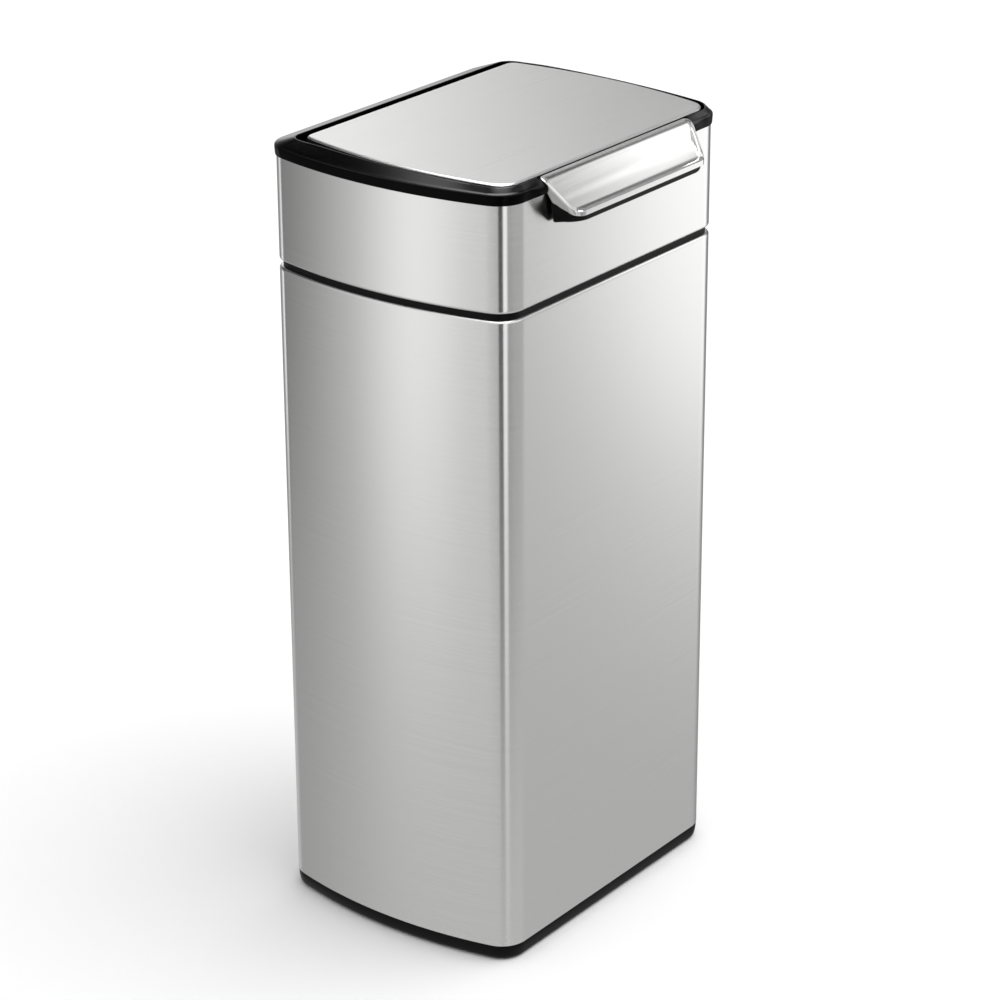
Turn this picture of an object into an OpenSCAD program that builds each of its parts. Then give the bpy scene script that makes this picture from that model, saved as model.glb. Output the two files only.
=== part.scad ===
// Touch-bar kitchen bin, floor standing. Front (the touch bar) faces -Y, the floor is z = 0,
// and the origin is the middle of the base plate. Sizes are in millimetres.

/* [Body] */
// Greatest width of the steel body, across the bowed sides
body_w = 321; // [290:1:350]
// Depth of the steel body, from flat front to flat back
body_d = 241; // [225:1:265]
// How far each side bows out beyond its corners
side_bow = 18; // [10:1:24]
// Radius of the upright corners
corner_r = 24; // [20:1:30]
// Height of the steel wall of the body
body_h = 555; // [420:5:640]
// Thickness of the steel sheet
sheet_t = 0.8; // [0.6:0.1:1.2]
// Radius of the rolled steel edges at the seam
hem_r = 2.4; // [1.6:0.2:3]
// Width of the inward flange of the rolled edges
hem_w = 6; // [5:0.5:8]

/* [Base] */
// Height of the black base below the steel wall
base_h = 14.3; // [12:0.1:20]
// How far the base draws in at the floor
base_inset = 5; // [3:0.5:8]
// Thickness of the base plate and its wall
base_t = 3; // [2:0.2:4]
// Height of the wall of the base that stands inside the steel
base_lip_h = 18; // [10:1:30]

/* [Seam ring] */
// Height of the black seam between body and collar
seam_h = 5.6; // [5:0.1:8]
// How far the seam ring lies behind the steel
seam_depth = 3; // [2:0.2:5]
// Width of the ring that the collar rests on
ring_w = 9; // [8:0.5:12]
// Height of the skirt of the ring inside the body
ring_skirt_h = 18; // [10:1:30]

/* [Collar] */
// Height of the steel collar
collar_h = 87.8; // [80:0.2:110]
// Wall thickness of the black frame inside the collar
frame_t = 2.4; // [2:0.2:3]
// Width of the foot flange of the frame
frame_foot_w = 11; // [9:0.5:14]

/* [Bezel] */
// Height of the upright band of the black bezel
band_h = 9.5; // [7:0.5:12]
// How far the band stands proud of the collar
band_proud = 1.5; // [0.5:0.1:2.5]
// Wall thickness of the bezel
bezel_t = 2.4; // [2:0.1:3]
// Height of the skirt of the bezel inside the frame
bezel_skirt_h = 10.7; // [8:0.1:14]

/* [Lid] */
// Distance from the body's widest line to the widest line of the lid panel, at each side
lid_side_in = 11.7; // [10:0.1:14]
// Distance from the back edge of the lid panel to the body's back
lid_back_in = 31.4; // [29.5:0.1:36]
// Bow of the sides of the lid panel
lid_bow = 12.5; // [10:0.5:14]
// Radius of the front corners of the lid panel
lid_front_r = 19; // [15:1:22]
// Radius of the rear corners of the lid panel
lid_back_r = 10; // [8:1:13]
// Distance from the body's front to the front edge of the lid
lid_front_in = 5.9; // [5.5:0.1:8]
// Height of the lid's front edge above the band
lid_rise = 4.9; // [4:0.1:7]
// Slope of the lid, higher at the back, in degrees
lid_tilt = 1.13; // [0.6:0.01:1.6]
// Height of the folded edge of the panel
lid_fold = 5; // [3:0.2:5.4]
// Depth of the black tray under the panel
tray_depth = 6.2; // [5.6:0.1:6.6]
// Wall thickness of the tray
tray_t = 2.4; // [2:0.1:3]

/* [Opening of the bezel] */
// Gap between lid and bezel at the middle of each side
lid_gap = 1.4; // [1:0.1:2]
// Gap between lid and bezel at the front
lid_front_gap = 1.2; // [1:0.1:1.6]
// Gap between lid and bezel at the back, where the lid's edge swings down
lid_back_gap = 8.4; // [7:0.1:9]
// Bow of the sides of the opening
opening_bow = 9; // [7:0.5:10]
// Radius of the front corners of the opening
opening_front_r = 22; // [18:1:23]
// Radius of the rear corners of the opening
opening_back_r = 12; // [10:1:14]
// Depth of the bezel's inner edge below the top of the lid
lip_drop = 0.9; // [0.6:0.1:1.4]

/* [Lid hinge] */
// Distance of the lid's axis in from its back edge
lid_axis_in = 11; // [10:0.5:13]
// Depth of the lid's axis below its top
lid_axis_drop = 9; // [8.8:0.1:10]
// Diameter of the hinge pins of the lid
lid_pin_d = 5; // [4:0.5:5]
// Distance from the lid's side to the inner face of each lid arm
lid_arm_in = 40.8; // [39:0.2:47]
// Thickness of each lid arm
lid_arm_t = 6; // [5:0.5:7]
// Thickness of the ears of the hinge brackets
ear_t = 3; // [2:0.5:4]
// Distance between the two ears of a bracket
ear_gap = 12; // [11.5:0.5:13]

/* [Damper] */
// Gear module of the damper drive
gear_m = 1; // [0.9:0.05:1.05]
// Teeth that a full turn of the lid's gear sector would have
sector_teeth = 32; // [30:2:34]
// Teeth of the damper pinion
pinion_teeth = 10; // [9:1:11]
// Face width of the gears
gear_w = 5; // [4:0.5:5]
// Radius of the damper housing
damper_r = 9; // [7:0.5:9.5]

/* [Touch bar] */
// Width of the bar along its top
bar_top_w = 202; // [180:1:220]
// Width of the bar along its lower lip
bar_low_w = 175; // [150:1:190]
// Reach of the bar beyond the front of the body
bar_reach = 27; // [22:0.5:32]
// Height of the bar from its top to the bottom of its lip
bar_h = 28.6; // [26:0.2:34]
// Gap between lid and bar
bar_gap = 1.4; // [1.2:0.1:2]
// Depth of the bar's top below the lid's edge
bar_drop = 1.1; // [0.8:0.1:1.6]
// Depth of the level strip along the bar's top
bar_strip = 6.4; // [5:0.2:8]
// Height of the upright lip
lip_h = 5.2; // [4:0.2:7]
// Hollow of the sloping face
bar_dish = 1.6; // [0.5:0.1:2.4]
// Thickness of the bar's steel skin
skin_t = 1; // [0.8:0.1:1.2]
// Height of the black core that shows below the lip
core_show = 4.8; // [3:0.2:7]

/* [Bar pivot] */
// Distance of the bar's pivot behind the front of the body
pivot_in = 12.5; // [12:0.1:13.5]
// Height of the bar's pivot below the top of the collar
pivot_down = 18.7; // [18:0.1:21]
// Diameter of the pivot pins
pivot_pin_d = 4; // [3:0.5:5]
// Distance from the middle to the inner face of each bar arm
bar_arm_x = 68; // [56:1:70]
// Thickness of each bar arm
bar_arm_t = 5; // [4:0.5:6]

/* [Latch] */
// Width of the latch spring
latch_w = 14; // [10:1:18]
// Thickness of the latch spring
latch_t = 0.8; // [0.6:0.1:1]
// How far the latch holds over the striker
latch_hold = 1.8; // [1:0.1:2]

/* [Collar hinge] */
// Distance from the middle to each collar hinge
knuckle_x = 80; // [60:1:95]
// Length of one knuckle
knuckle_l = 14; // [10:1:18]
// Diameter of the knuckles
knuckle_d = 5; // [4.6:0.1:5]
// Diameter of the collar's hinge pins
collar_pin_d = 2.4; // [2:0.1:2.6]

/* [Fits] */
// Radial clearance of a pin that turns in its bore
run_fit = 0.05; // [0.02:0.01:0.1]
// Radial clearance of a pin that is held still
pin_fit = 0.02; // [0.01:0.01:0.05]
// Clearance between parts that are fitted and do not move
seat_fit = 0.3; // [0.2:0.05:0.4]
// Clearance between moving parts
move_fit = 0.4; // [0.3:0.05:0.6]

/* [Hidden] */
$fn = 48;
// Steps of one corner arc and of one bowed side
corner_n = 8;
side_n = 14;

steel = [0.78, 0.78, 0.77];
black = [0.07, 0.07, 0.07];
zinc = [0.62, 0.63, 0.65];
spring_steel = [0.5, 0.5, 0.52];
rubber = [0.12, 0.12, 0.12];

// Levels, from the floor up
body_z1 = base_h + body_h;
collar_z0 = body_z1 + seam_h;
collar_z1 = collar_z0 + collar_h;
band_z1 = collar_z1 + band_h;
front_y = -body_d / 2;

// Lid: size of the panel, its centre, its height there, and its edges
lid_w = body_w - 2 * lid_side_in;
lid_d = body_d - lid_front_in - lid_back_in;
lid_arm_x = lid_w / 2 - lid_arm_in;
lid_front_y = front_y + lid_front_in;
lid_back_y = lid_front_y + lid_d;
lid_cy = (lid_front_y + lid_back_y) / 2;
lid_front_z = band_z1 + lid_rise;
lid_z = lid_front_z + tan(lid_tilt) * lid_d / 2;
function lid_top(y) = lid_z + tan(lid_tilt) * (y - lid_cy);
lid_axis_y = lid_back_y - lid_axis_in;
lid_axis_z = lid_top(lid_axis_y) - lid_axis_drop;

// Inner face of a rolled edge, and the height to which it reaches on the collar
hem_in = sheet_t + hem_r * 0.4;
hem_z1 = collar_z0 + hem_r + 1;

// Offsets of the walls inside the steel, inward from its outer face
frame_off = sheet_t + seat_fit;
skirt_off = frame_off + frame_t + seat_fit;
skirt_in = skirt_off + bezel_t;

// Touch bar: key points of its section
bar_top_y = lid_front_y - bar_gap;
bar_top_z = lid_front_z - bar_drop;
bar_face_y = front_y - bar_reach;
bar_low_z = bar_top_z - bar_h;
pivot_y = front_y + pivot_in;
pivot_z = collar_z1 - pivot_down;
cut_w = bar_top_w + 2.4;
sill_z = collar_z1 + 1;

// A wedge of the collar's top is cut away for the bar: the bridge of the bar passes through it
bridge_z0 = sill_z + 1.9;
bridge_z1 = lid_front_z - tray_depth - 1.1;
bridge_back_y = pivot_y + 4.5;
core_back_y = front_y - 2.8;

// Gears of the damper
sector_r = gear_m * sector_teeth / 2;
pinion_r = gear_m * pinion_teeth / 2;
damper_angle = 45;
damper_y = lid_axis_y - (sector_r + pinion_r) * cos(damper_angle);
damper_z = lid_axis_z - (sector_r + pinion_r) * sin(damper_angle);
pressure_angle = 25;
tooth_add = 0.8;
tooth_ded = 1.05;
backlash = 0.1;
gear_x0 = -lid_arm_x + 1.7;

// Hinge brackets of the lid
ear_x0 = lid_arm_x + lid_arm_t + 2;
ear_x1 = ear_x0 + ear_t + ear_gap;
ear_r = 5;
shelf_z = lid_axis_z - 20;
shelf_t = 3;
bracket_t = 2;
shelf_y0 = lid_axis_y - 5;
shelf_y1 = lid_axis_y + 14;

// Torsion springs of the lid and of the bar
lid_wire_d = 1.2;
lid_coil_r = lid_pin_d / 2 + 0.5 + lid_wire_d / 2;
lid_coil_turns = 5.25;
lid_coil_l = ear_gap - 2.4;
bar_wire_d = 0.9;
bar_coil_r = pivot_pin_d / 2 + 0.5 + bar_wire_d / 2;
bar_coil_turns = 4.5;
bar_coil_l = 7.2;
echo(lid_spring_least_gap = lid_coil_l / lid_coil_turns - lid_wire_d);
echo(bar_spring_least_gap = bar_coil_l / bar_coil_turns - bar_wire_d);

// Bumpers under the lid's front corners, and the ledges that they stand on
bumper_in = 26.8;
bumper_x = lid_w / 2 - bumper_in;
bumper_y = lid_front_y + 5.1;
bumper_r = 4;
bumper_h = 3;
bumper_ledge_z = lid_top(bumper_y) - tray_depth - seat_fit - bumper_h;

// Screws of the bezel and of the brackets, and their places
screw_r = 1.5;
screw_head_r = 2.9;
screw_head_h = 1.4;
screw_bore_r = screw_r + run_fit;
bezel_screw_z = collar_z1 - 6;
bezel_screw_x = 60;
bracket_screw_x = ear_x0 + ear_t + ear_gap / 2;
bracket_screw_y0 = shelf_y0 + 4;
bracket_screw_y1 = shelf_y1 - 4;
bracket_screw_y = [bracket_screw_y0, bracket_screw_y1];

// Boss of each lid arm round the lid's axis, and the rib under the lid's tray
lid_boss_r = 6.5;
lid_rib_in = 42;
lid_rib_w = 2;
lid_rib_r = 8;

// Walls of the bar's core, and its finger behind the collar's front wall
core_t = 2.2;
finger_w = 10;

// Latch and striker
latch_y = front_y + 28.1;
latch_z0 = collar_z1 - 45.7;
latch_nose_z = collar_z1 - 8.3;
latch_shelf_t = 3;
latch_screw_y = latch_y - 9;
striker_w = 12;
striker_y = latch_y - 8.4;

// Collar hinge
hinge_y = body_d / 2;
hinge_z = body_z1 + seam_h / 2;

// ---- Outlines ----

// Points of an arc from step i0 to step i1 of n
function arc(cx, cy, r, a0, a1, n, i0, i1) =
  [for (i = [i0:i1]) let (a = a0 + (a1 - a0) * i / n) [cx + r * cos(a), cy + r * sin(a)]];

// Centre and start angle of the corner of radius r, on a side of radius rb and centre cx
function corner_at(h, rb, cx, r) =
  let (y = h - r, x = cx + sqrt((rb - r) * (rb - r) - y * y)) [x, y, atan2(y, x - cx)];

// Plan of width w and depth d: flat front and back, bowed sides, corners of radius fr in front
// and br at the back, grown by off
function bowed(w, d, bow, fr, br, off = 0) =
  let (h = d / 2, rb = (h * h + bow * bow) / (2 * bow), cx = w / 2 - rb,
       f = corner_at(h, rb, cx, fr), b = corner_at(h, rb, cx, br))
  concat(
    arc(cx, 0, rb + off, -f[2], b[2], side_n, 0, side_n),
    arc(b[0], b[1], br + off, b[2], 90, corner_n, 1, corner_n),
    arc(-b[0], b[1], br + off, 90, 180 - b[2], corner_n, 0, corner_n - 1),
    arc(-cx, 0, rb + off, 180 - b[2], 180 + f[2], side_n, 0, side_n),
    arc(-f[0], -f[1], fr + off, 180 + f[2], 270, corner_n, 1, corner_n),
    arc(f[0], -f[1], fr + off, 270, 360 - f[2], corner_n, 0, corner_n - 1));

function body_plan(off) = bowed(body_w, body_d, side_bow, corner_r, corner_r, off);
function lid_plan(off) = bowed(lid_w, lid_d, lid_bow, lid_front_r, lid_back_r, off);

// Plan of the bezel's opening, wider and deeper than the lid by its gaps
function opening_plan(off = 0) =
  [for (p = bowed(lid_w + 2 * lid_gap, lid_d + lid_front_gap + lid_back_gap, opening_bow,
      opening_front_r, opening_back_r, off))
    [p[0], p[1] + lid_cy + (lid_back_gap - lid_front_gap) / 2]];

// A level ring of points, and one that follows the lid's slope
function level(pts, z) = [for (p = pts) [p[0], p[1], z]];
function sloped(pts, dz) = [for (p = pts) [p[0], p[1], lid_top(p[1]) + dz]];

// Half width of the bar at height z
function bar_half(z) = bar_top_w / 2 - (bar_top_w - bar_low_w) / 2 * (bar_top_z - z) / bar_h;

// ---- Building blocks ----

// A solid through rings of points with the same count, lowest first
module loft(rings) {
  n = len(rings[0]);
  m = len(rings);
  polyhedron(
    points = [for (r = rings) each r],
    faces = concat(
      [[for (i = [0:n - 1]) i]],
      [[for (i = [0:n - 1]) m * n - 1 - i]],
      [for (j = [0:m - 2], i = [0:n - 1], k = [0, 1])
        let (a = j * n + i, b = j * n + (i + 1) % n)
        k == 0 ? [a, a + n, b + n] : [a, b + n, b]]),
    convexity = 6);
}

// An upright wall between two plans
module wall(z0, z1, outer, inner) {
  translate([0, 0, z0]) linear_extrude(z1 - z0) difference() {
    polygon(outer);
    polygon(inner);
  }
}

module slab(z0, z1, plan) {
  translate([0, 0, z0]) linear_extrude(z1 - z0) polygon(plan);
}

// Extrudes a drawing in (y, z) along X from x0 to x1
module along_x(x0, x1) {
  translate([x0, 0, 0]) rotate([90, 0, 90]) linear_extrude(x1 - x0) children();
}

module rod_x(x0, x1, y, z, r) {
  along_x(x0, x1) translate([y, z]) circle(r);
}

module both_sides() {
  children();
  mirror([1, 0, 0]) children();
}

// A box from its lowest to its highest corner
module box(a, b) {
  translate(a) cube(b - a);
}

// A screw with a flat head at the origin and its shank along -Z
module screw(shank_r, head_r, head_h, length) {
  cylinder(r = head_r, h = head_h);
  translate([0, 0, -length]) cylinder(r = shank_r, h = length + 0.1);
}

// Keeps children inside the steel of the collar, at the frame's wall
module inside_collar() {
  intersection() {
    children();
    slab(collar_z0, lid_z + 20, body_plan(-frame_off - frame_t / 2));
  }
}

// ---- Tubes of wire ----

function unit(v) = v / norm(v);

// Rings of a tube of n sides along points p, on frames that lean as little as they can
function tube_frames(p, n, i, u) =
  i >= len(p) ? [] :
  let (t = unit(p[min(i + 1, len(p) - 1)] - p[max(i - 1, 0)]), v = unit(u - (u * t) * t))
  concat([[p[i], v, cross(t, v)]], tube_frames(p, n, i + 1, v));

module tube(p, r, n, up) {
  frames = tube_frames(p, n, 0, up);
  loft([for (f = frames) [for (k = [0:n - 1]) f[0] + r * cos(360 * k / n) * f[1]
    + r * sin(360 * k / n) * f[2]]]);
}

// Turns of a torsion spring along X, from x0 to x1, starting and ending at the given angles
function coil_points(x0, x1, cy, cz, r, a0, a1, steps) =
  [for (i = [0:steps]) let (a = a0 + (a1 - a0) * i / steps)
    [x0 + (x1 - x0) * i / steps, cy + r * cos(a), cz + r * sin(a)]];

// ---- Gears ----

function inv(a) = tan(a) * 180 / PI - a;

// Half the angle of a tooth at radius r
function tooth_half(n, r) =
  let (rp = gear_m * n / 2, rb = rp * cos(pressure_angle))
  (90 - 180 * backlash / (PI * gear_m)) / n + inv(pressure_angle) - inv(acos(min(1, rb / r)));

// One tooth that points along +x
module tooth(n) {
  rp = gear_m * n / 2;
  rb = rp * cos(pressure_angle);
  rr = rp - tooth_ded * gear_m;
  ra = rp + tooth_add * gear_m;
  r0 = max(rb, rr);
  radii = concat([rr - 0.3], [for (i = [0:5]) r0 + (ra - r0) * i / 5]);
  flank = [for (r = radii) let (h = tooth_half(n, max(r, r0))) [r * cos(h), r * sin(h)]];
  polygon(concat([for (p = flank) [p[0], -p[1]]], [for (i = [len(flank) - 1:-1:0]) flank[i]]));
}

// ---- Root: base, body, seam ring ----

module base_tray() color(black) {
  inner = body_plan(-sheet_t - seat_fit - base_t);
  difference() {
    union() {
      loft([
        level(body_plan(-base_inset), 0),
        level(body_plan(-base_inset * 0.45), base_h * 0.14),
        level(body_plan(-base_inset * 0.16), base_h * 0.38),
        level(body_plan(-seat_fit), base_h * 0.7),
        level(body_plan(-seat_fit), base_h)]);
      slab(base_h - 1, base_h + base_lip_h, body_plan(-sheet_t - seat_fit));
    }
    slab(base_t, base_h + base_lip_h + 1, body_plan(-base_inset - base_t));
    slab(base_h * 0.6, base_h + base_lip_h + 1, inner);
  }
}

module body_shell() color(steel) {
  difference() {
    union() {
      wall(base_h, body_z1 - hem_r, body_plan(0), body_plan(-sheet_t));
      loft([
        level(body_plan(0), body_z1 - hem_r),
        level(body_plan(-hem_r * 0.13), body_z1 - hem_r * 0.5),
        level(body_plan(-hem_r * 0.5), body_z1 - hem_r * 0.13),
        level(body_plan(-hem_r), body_z1)]);
    }
    slab(body_z1 - hem_r - 1, body_z1 - sheet_t, body_plan(-hem_in));
    slab(body_z1 - sheet_t - 1, body_z1 + 1, body_plan(-hem_w));
  }
}

// Slots behind the seam for the collar's knuckles
module knuckle_room(x) {
  box([x - knuckle_l / 2, hinge_y - hem_w - seat_fit - base_t, body_z1 - 1],
      [x + knuckle_l / 2, hinge_y + 5, collar_z0 + 1]);
}

module seam_ring() color(black) {
  top = collar_z0 - seat_fit;
  difference() {
    union() {
      wall(body_z1, top, body_plan(-seam_depth), body_plan(-seam_depth - ring_w));
      wall(body_z1 - ring_skirt_h, body_z1 + 1, body_plan(-hem_w - seat_fit),
           body_plan(-hem_w - seat_fit - base_t));
      both_sides() for (k = [-1, 1]) {
        x = knuckle_x + k * knuckle_l;
        rod_x(x - knuckle_l / 2 + move_fit, x + knuckle_l / 2 - move_fit, hinge_y, hinge_z,
          knuckle_d / 2);
        box([x - knuckle_l / 2 + move_fit, hinge_y - seam_depth - 1, hinge_z - knuckle_d / 2],
            [x + knuckle_l / 2 - move_fit, hinge_y, hinge_z + knuckle_d / 4]);
      }
    }
    both_sides() knuckle_room(knuckle_x);
    both_sides() rod_x(knuckle_x - knuckle_l * 2, knuckle_x + knuckle_l * 2, hinge_y, hinge_z,
      collar_pin_d / 2 + pin_fit);
  }
}

module collar_hinge_pins() color(zinc) {
  both_sides() rod_x(knuckle_x - knuckle_l * 1.5, knuckle_x + knuckle_l * 1.5, hinge_y, hinge_z,
    collar_pin_d / 2);
}

// ---- Collar ----

module collar_band() color(steel) {
  difference() {
    union() {
      loft([
        level(body_plan(-hem_r), collar_z0),
        level(body_plan(-hem_r * 0.5), collar_z0 + hem_r * 0.13),
        level(body_plan(-hem_r * 0.13), collar_z0 + hem_r * 0.5),
        level(body_plan(0), collar_z0 + hem_r)]);
      wall(collar_z0 + hem_r, collar_z1, body_plan(0), body_plan(-sheet_t));
    }
    slab(collar_z0 + sheet_t, hem_z1, body_plan(-hem_in));
    slab(collar_z0 - 1, collar_z0 + sheet_t + 1, body_plan(-hem_w));
    both_sides() box(
      [knuckle_x - knuckle_l / 2 - 1, hinge_y - 12, collar_z0 - 1],
      [knuckle_x + knuckle_l / 2 + 1, hinge_y + 1, collar_z0 + hem_r + 1]);
  }
}

module at_bezel_screws() {
  side_x = body_w / 2 - skirt_in;
  for (s = [-1, 1]) translate([s * bezel_screw_x, body_d / 2 - skirt_in, bezel_screw_z])
    rotate([90, 0, 0]) children();
  for (s = [-1, 1]) translate([s * side_x, 0, bezel_screw_z]) rotate([0, -s * 90, 0]) children();
}

module frame_lugs() {
  x_in = bar_arm_x - 2 - bar_arm_t;
  x_out = bar_arm_x + bar_arm_t + 9;
  for (x = [x_in, x_out]) difference() {
    union() {
      rod_x(x, x + bar_arm_t, pivot_y, pivot_z, pivot_pin_d / 2 + 3);
      box([x, front_y + frame_off + 0.5, pivot_z - 5], [x + bar_arm_t, pivot_y, pivot_z + 5]);
    }
    rod_x(x - 1, x + bar_arm_t + 1, pivot_y, pivot_z, pivot_pin_d / 2 + pin_fit);
  }
}

module collar_frame() color(black) {
  foot_z = collar_z0 + sheet_t + seat_fit;
  difference() {
    union() {
      wall(hem_z1 + seat_fit, collar_z1 - seat_fit, body_plan(-frame_off),
        body_plan(-frame_off - frame_t));
      wall(foot_z, hem_z1 + 1, body_plan(-hem_in - seat_fit), body_plan(-frame_off - frame_t));
      wall(foot_z, foot_z + frame_t, body_plan(-hem_in - seat_fit),
        body_plan(-frame_off - frame_foot_w));
      // knuckles of the collar hinge
      both_sides() {
        rod_x(knuckle_x - knuckle_l / 2 + move_fit, knuckle_x + knuckle_l / 2 - move_fit, hinge_y,
          hinge_z, knuckle_d / 2);
        along_x(knuckle_x - knuckle_l / 2 + move_fit, knuckle_x + knuckle_l / 2 - move_fit) polygon([
          [hinge_y, hinge_z - knuckle_d / 2], [hinge_y, hinge_z + knuckle_d / 2],
          [hinge_y - 1.6, foot_z + frame_t], [hinge_y - 8, foot_z + frame_t],
          [hinge_y - 8, foot_z], [hinge_y - 3, hinge_z - knuckle_d / 2]]);
      }
      // lugs of the touch bar
      both_sides() frame_lugs();
      // shelves of the lid's brackets
      both_sides() inside_collar() box(
        [ear_x0 - 1, shelf_y0, shelf_z - shelf_t], [body_w / 2, shelf_y1, shelf_z]);
      // shelf of the latch
      box([-latch_w, front_y + frame_off + 0.5, latch_z0 - latch_shelf_t],
          [latch_w, latch_y + 4, latch_z0]);
      both_sides() box([latch_w - 2, front_y + frame_off + 0.5, latch_z0 - 14],
          [latch_w, latch_y + 4, latch_z0 - 1]);
      // ledges of the lid's bumpers
      both_sides() {
        box([bumper_x - 6, front_y + frame_off + 0.5, collar_z1 - 11],
            [bumper_x + 6, bumper_y + 5, collar_z1 - 1]);
        box([bumper_x - 6, front_y + skirt_in + seat_fit, collar_z1 - 2],
            [bumper_x + 6, bumper_y + 5, bumper_ledge_z]);
      }
    }
    both_sides() rod_x(knuckle_x - knuckle_l, knuckle_x + knuckle_l, hinge_y, hinge_z,
      collar_pin_d / 2 + run_fit);
    at_bezel_screws() translate([0, 0, -12]) cylinder(r = screw_bore_r, h = 14);
    for (s = [-1, 1], y = bracket_screw_y) translate([s * bracket_screw_x, y, shelf_z - 8])
      cylinder(r = screw_bore_r, h = 10);
    for (s = [-1, 1]) translate([s * latch_w / 4, latch_screw_y, latch_z0 - 8])
      cylinder(r = 1.3, h = 10);
  }
}

module bezel() color(black) {
  difference() {
    union() {
      loft([
        level(body_plan(band_proud * 0.6), collar_z1),
        level(body_plan(band_proud), band_z1 - 2.4),
        level(body_plan(band_proud - 0.4), band_z1 - 0.9),
        level(body_plan(band_proud - 1.3), band_z1),
        sloped(opening_plan(0.5), 0.1 - lip_drop),
        sloped(opening_plan(-0.5), 0.25 - lip_drop)]);
      slab(collar_z1 - bezel_skirt_h, collar_z1 + 1, body_plan(-skirt_off));
    }
    loft([
      level(body_plan(-skirt_in), collar_z1 - bezel_skirt_h - 1),
      level(body_plan(-skirt_in), band_z1 - bezel_t - 1),
      sloped(opening_plan(-0.2), -bezel_t - lip_drop)]);
    slab(band_z1 - 4, lid_z + 20, opening_plan(0));
    // room for the touch bar, and for its arms behind the skirt
    box([-cut_w / 2, front_y - 10, sill_z], [cut_w / 2, lid_front_y + 6, lid_z + 20]);
    box([-cut_w / 2, front_y + frame_off + frame_t - 0.2, collar_z1 - bezel_skirt_h - 1],
        [cut_w / 2, lid_front_y + 6, sill_z + 1]);
    at_bezel_screws() translate([0, 0, -12]) cylinder(r = screw_bore_r, h = 14);
    both_sides() box([bumper_x - 7, front_y + skirt_off - 1, collar_z1 - bezel_skirt_h - 1],
      [bumper_x + 7, bumper_y + 7, collar_z1]);
  }
}

module bezel_screws() color(zinc) {
  at_bezel_screws() translate([0, 0, 0.1]) screw(screw_r, screw_head_r, screw_head_h, bezel_t + frame_t);
}

// Bracket on the +X side: base on the shelf and two ears that carry the pin
module bracket_solid() {
  base_z = shelf_z + bracket_t;
  difference() {
    union() {
      box([ear_x0, shelf_y0 + 0.5, shelf_z], [ear_x1 + ear_t, shelf_y1 - 1, base_z]);
      for (x = [ear_x0, ear_x1]) {
        box([x, lid_axis_y - ear_r, shelf_z], [x + ear_t, lid_axis_y + ear_r, lid_axis_z]);
        rod_x(x, x + ear_t, lid_axis_y, lid_axis_z, ear_r);
      }
    }
    rod_x(ear_x0 - 1, ear_x1 + ear_t + 1, lid_axis_y, lid_axis_z, lid_pin_d / 2 + pin_fit);
    for (y = bracket_screw_y) translate([bracket_screw_x, y, shelf_z - 1])
      cylinder(r = screw_r + 0.2, h = bracket_t + 2);
  }
}

module hinge_bracket_right() color(zinc) bracket_solid();

// The left bracket also carries the damper
module hinge_bracket_left() color(zinc) {
  difference() {
    union() {
      mirror([1, 0, 0]) bracket_solid();
      rod_x(-ear_x0 - ear_t, -ear_x0, damper_y, damper_z, damper_r);
      box([-ear_x0 - ear_t, damper_y, shelf_z],
          [-ear_x0, lid_axis_y - ear_r + 0.5, damper_z + damper_r - 4]);
    }
    rod_x(-ear_x0 - ear_t - 1, -ear_x0 + 1, damper_y, damper_z, 2.6);
  }
}

module bracket_screws() color(zinc) {
  for (s = [-1, 1], y = bracket_screw_y) translate([s * bracket_screw_x, y, shelf_z + bracket_t])
    screw(screw_r, screw_head_r, screw_head_h, bracket_t + shelf_t + 1);
}

module lid_hinge_pins() color(zinc) {
  both_sides() {
    rod_x(lid_arm_x - 1, ear_x1 + ear_t + 0.5, lid_axis_y, lid_axis_z, lid_pin_d / 2);
  }
}

// Torsion spring round each hinge pin, one leg on the bracket and one under the lid
function lid_spring_path() =
  let (x0 = ear_x0 + ear_t + 1.2, x1 = x0 + lid_coil_l, r = lid_coil_r)
  concat(
    [[x0, lid_axis_y + r, shelf_z + bracket_t + 1.2], [x0, lid_axis_y + r, lid_axis_z - 4]],
    coil_points(x0, x1, lid_axis_y, lid_axis_z, r, 0, 360 * lid_coil_turns, 8 * lid_coil_turns),
    [[x1, lid_axis_y - 5, lid_axis_z + r + 0.1], [x1, lid_axis_y - 20, lid_axis_z + r + 0.6]]);

module lid_springs() color(spring_steel) {
  both_sides() tube(lid_spring_path(), lid_wire_d / 2, 6, [0, 1, 0.2]);
}

module damper_housing() color(black) {
  x0 = -ear_x0;
  x1 = gear_x0 - 0.8;
  difference() {
    union() {
      rod_x(x0, x1, damper_y, damper_z, damper_r);
      rod_x(x0 - ear_t, x0 + 0.1, damper_y, damper_z, 2.5);
    }
    rod_x(x0 + 3, x1 + 1, damper_y, damper_z, 1.5 + run_fit);
  }
}

module damper_pinion() color([0.85, 0.85, 0.82]) {
  // a tooth points at the lid's axis
  along_x(gear_x0, gear_x0 + gear_w) translate([damper_y, damper_z]) rotate(damper_angle) {
    circle(pinion_r - tooth_ded * gear_m);
    for (i = [0:pinion_teeth - 1]) rotate(360 / pinion_teeth * i) tooth(pinion_teeth);
  }
  rod_x(-ear_x0 + 3.5, gear_x0 + 0.5, damper_y, damper_z, 1.5);
}

// ---- Lid ----

// Puts a shape drawn with its top at z = 0 in the place and slope of the lid
module on_lid() {
  translate([0, lid_cy, lid_z]) rotate([lid_tilt, 0, 0]) children();
}

module lid_panel() color(steel) on_lid() difference() {
  loft([
    level(lid_plan(0), -lid_fold),
    level(lid_plan(0), -1.1),
    level(lid_plan(-0.32), -0.32),
    level(lid_plan(-1.1), 0)]);
  slab(-lid_fold - 1, -sheet_t, lid_plan(-sheet_t));
}

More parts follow.
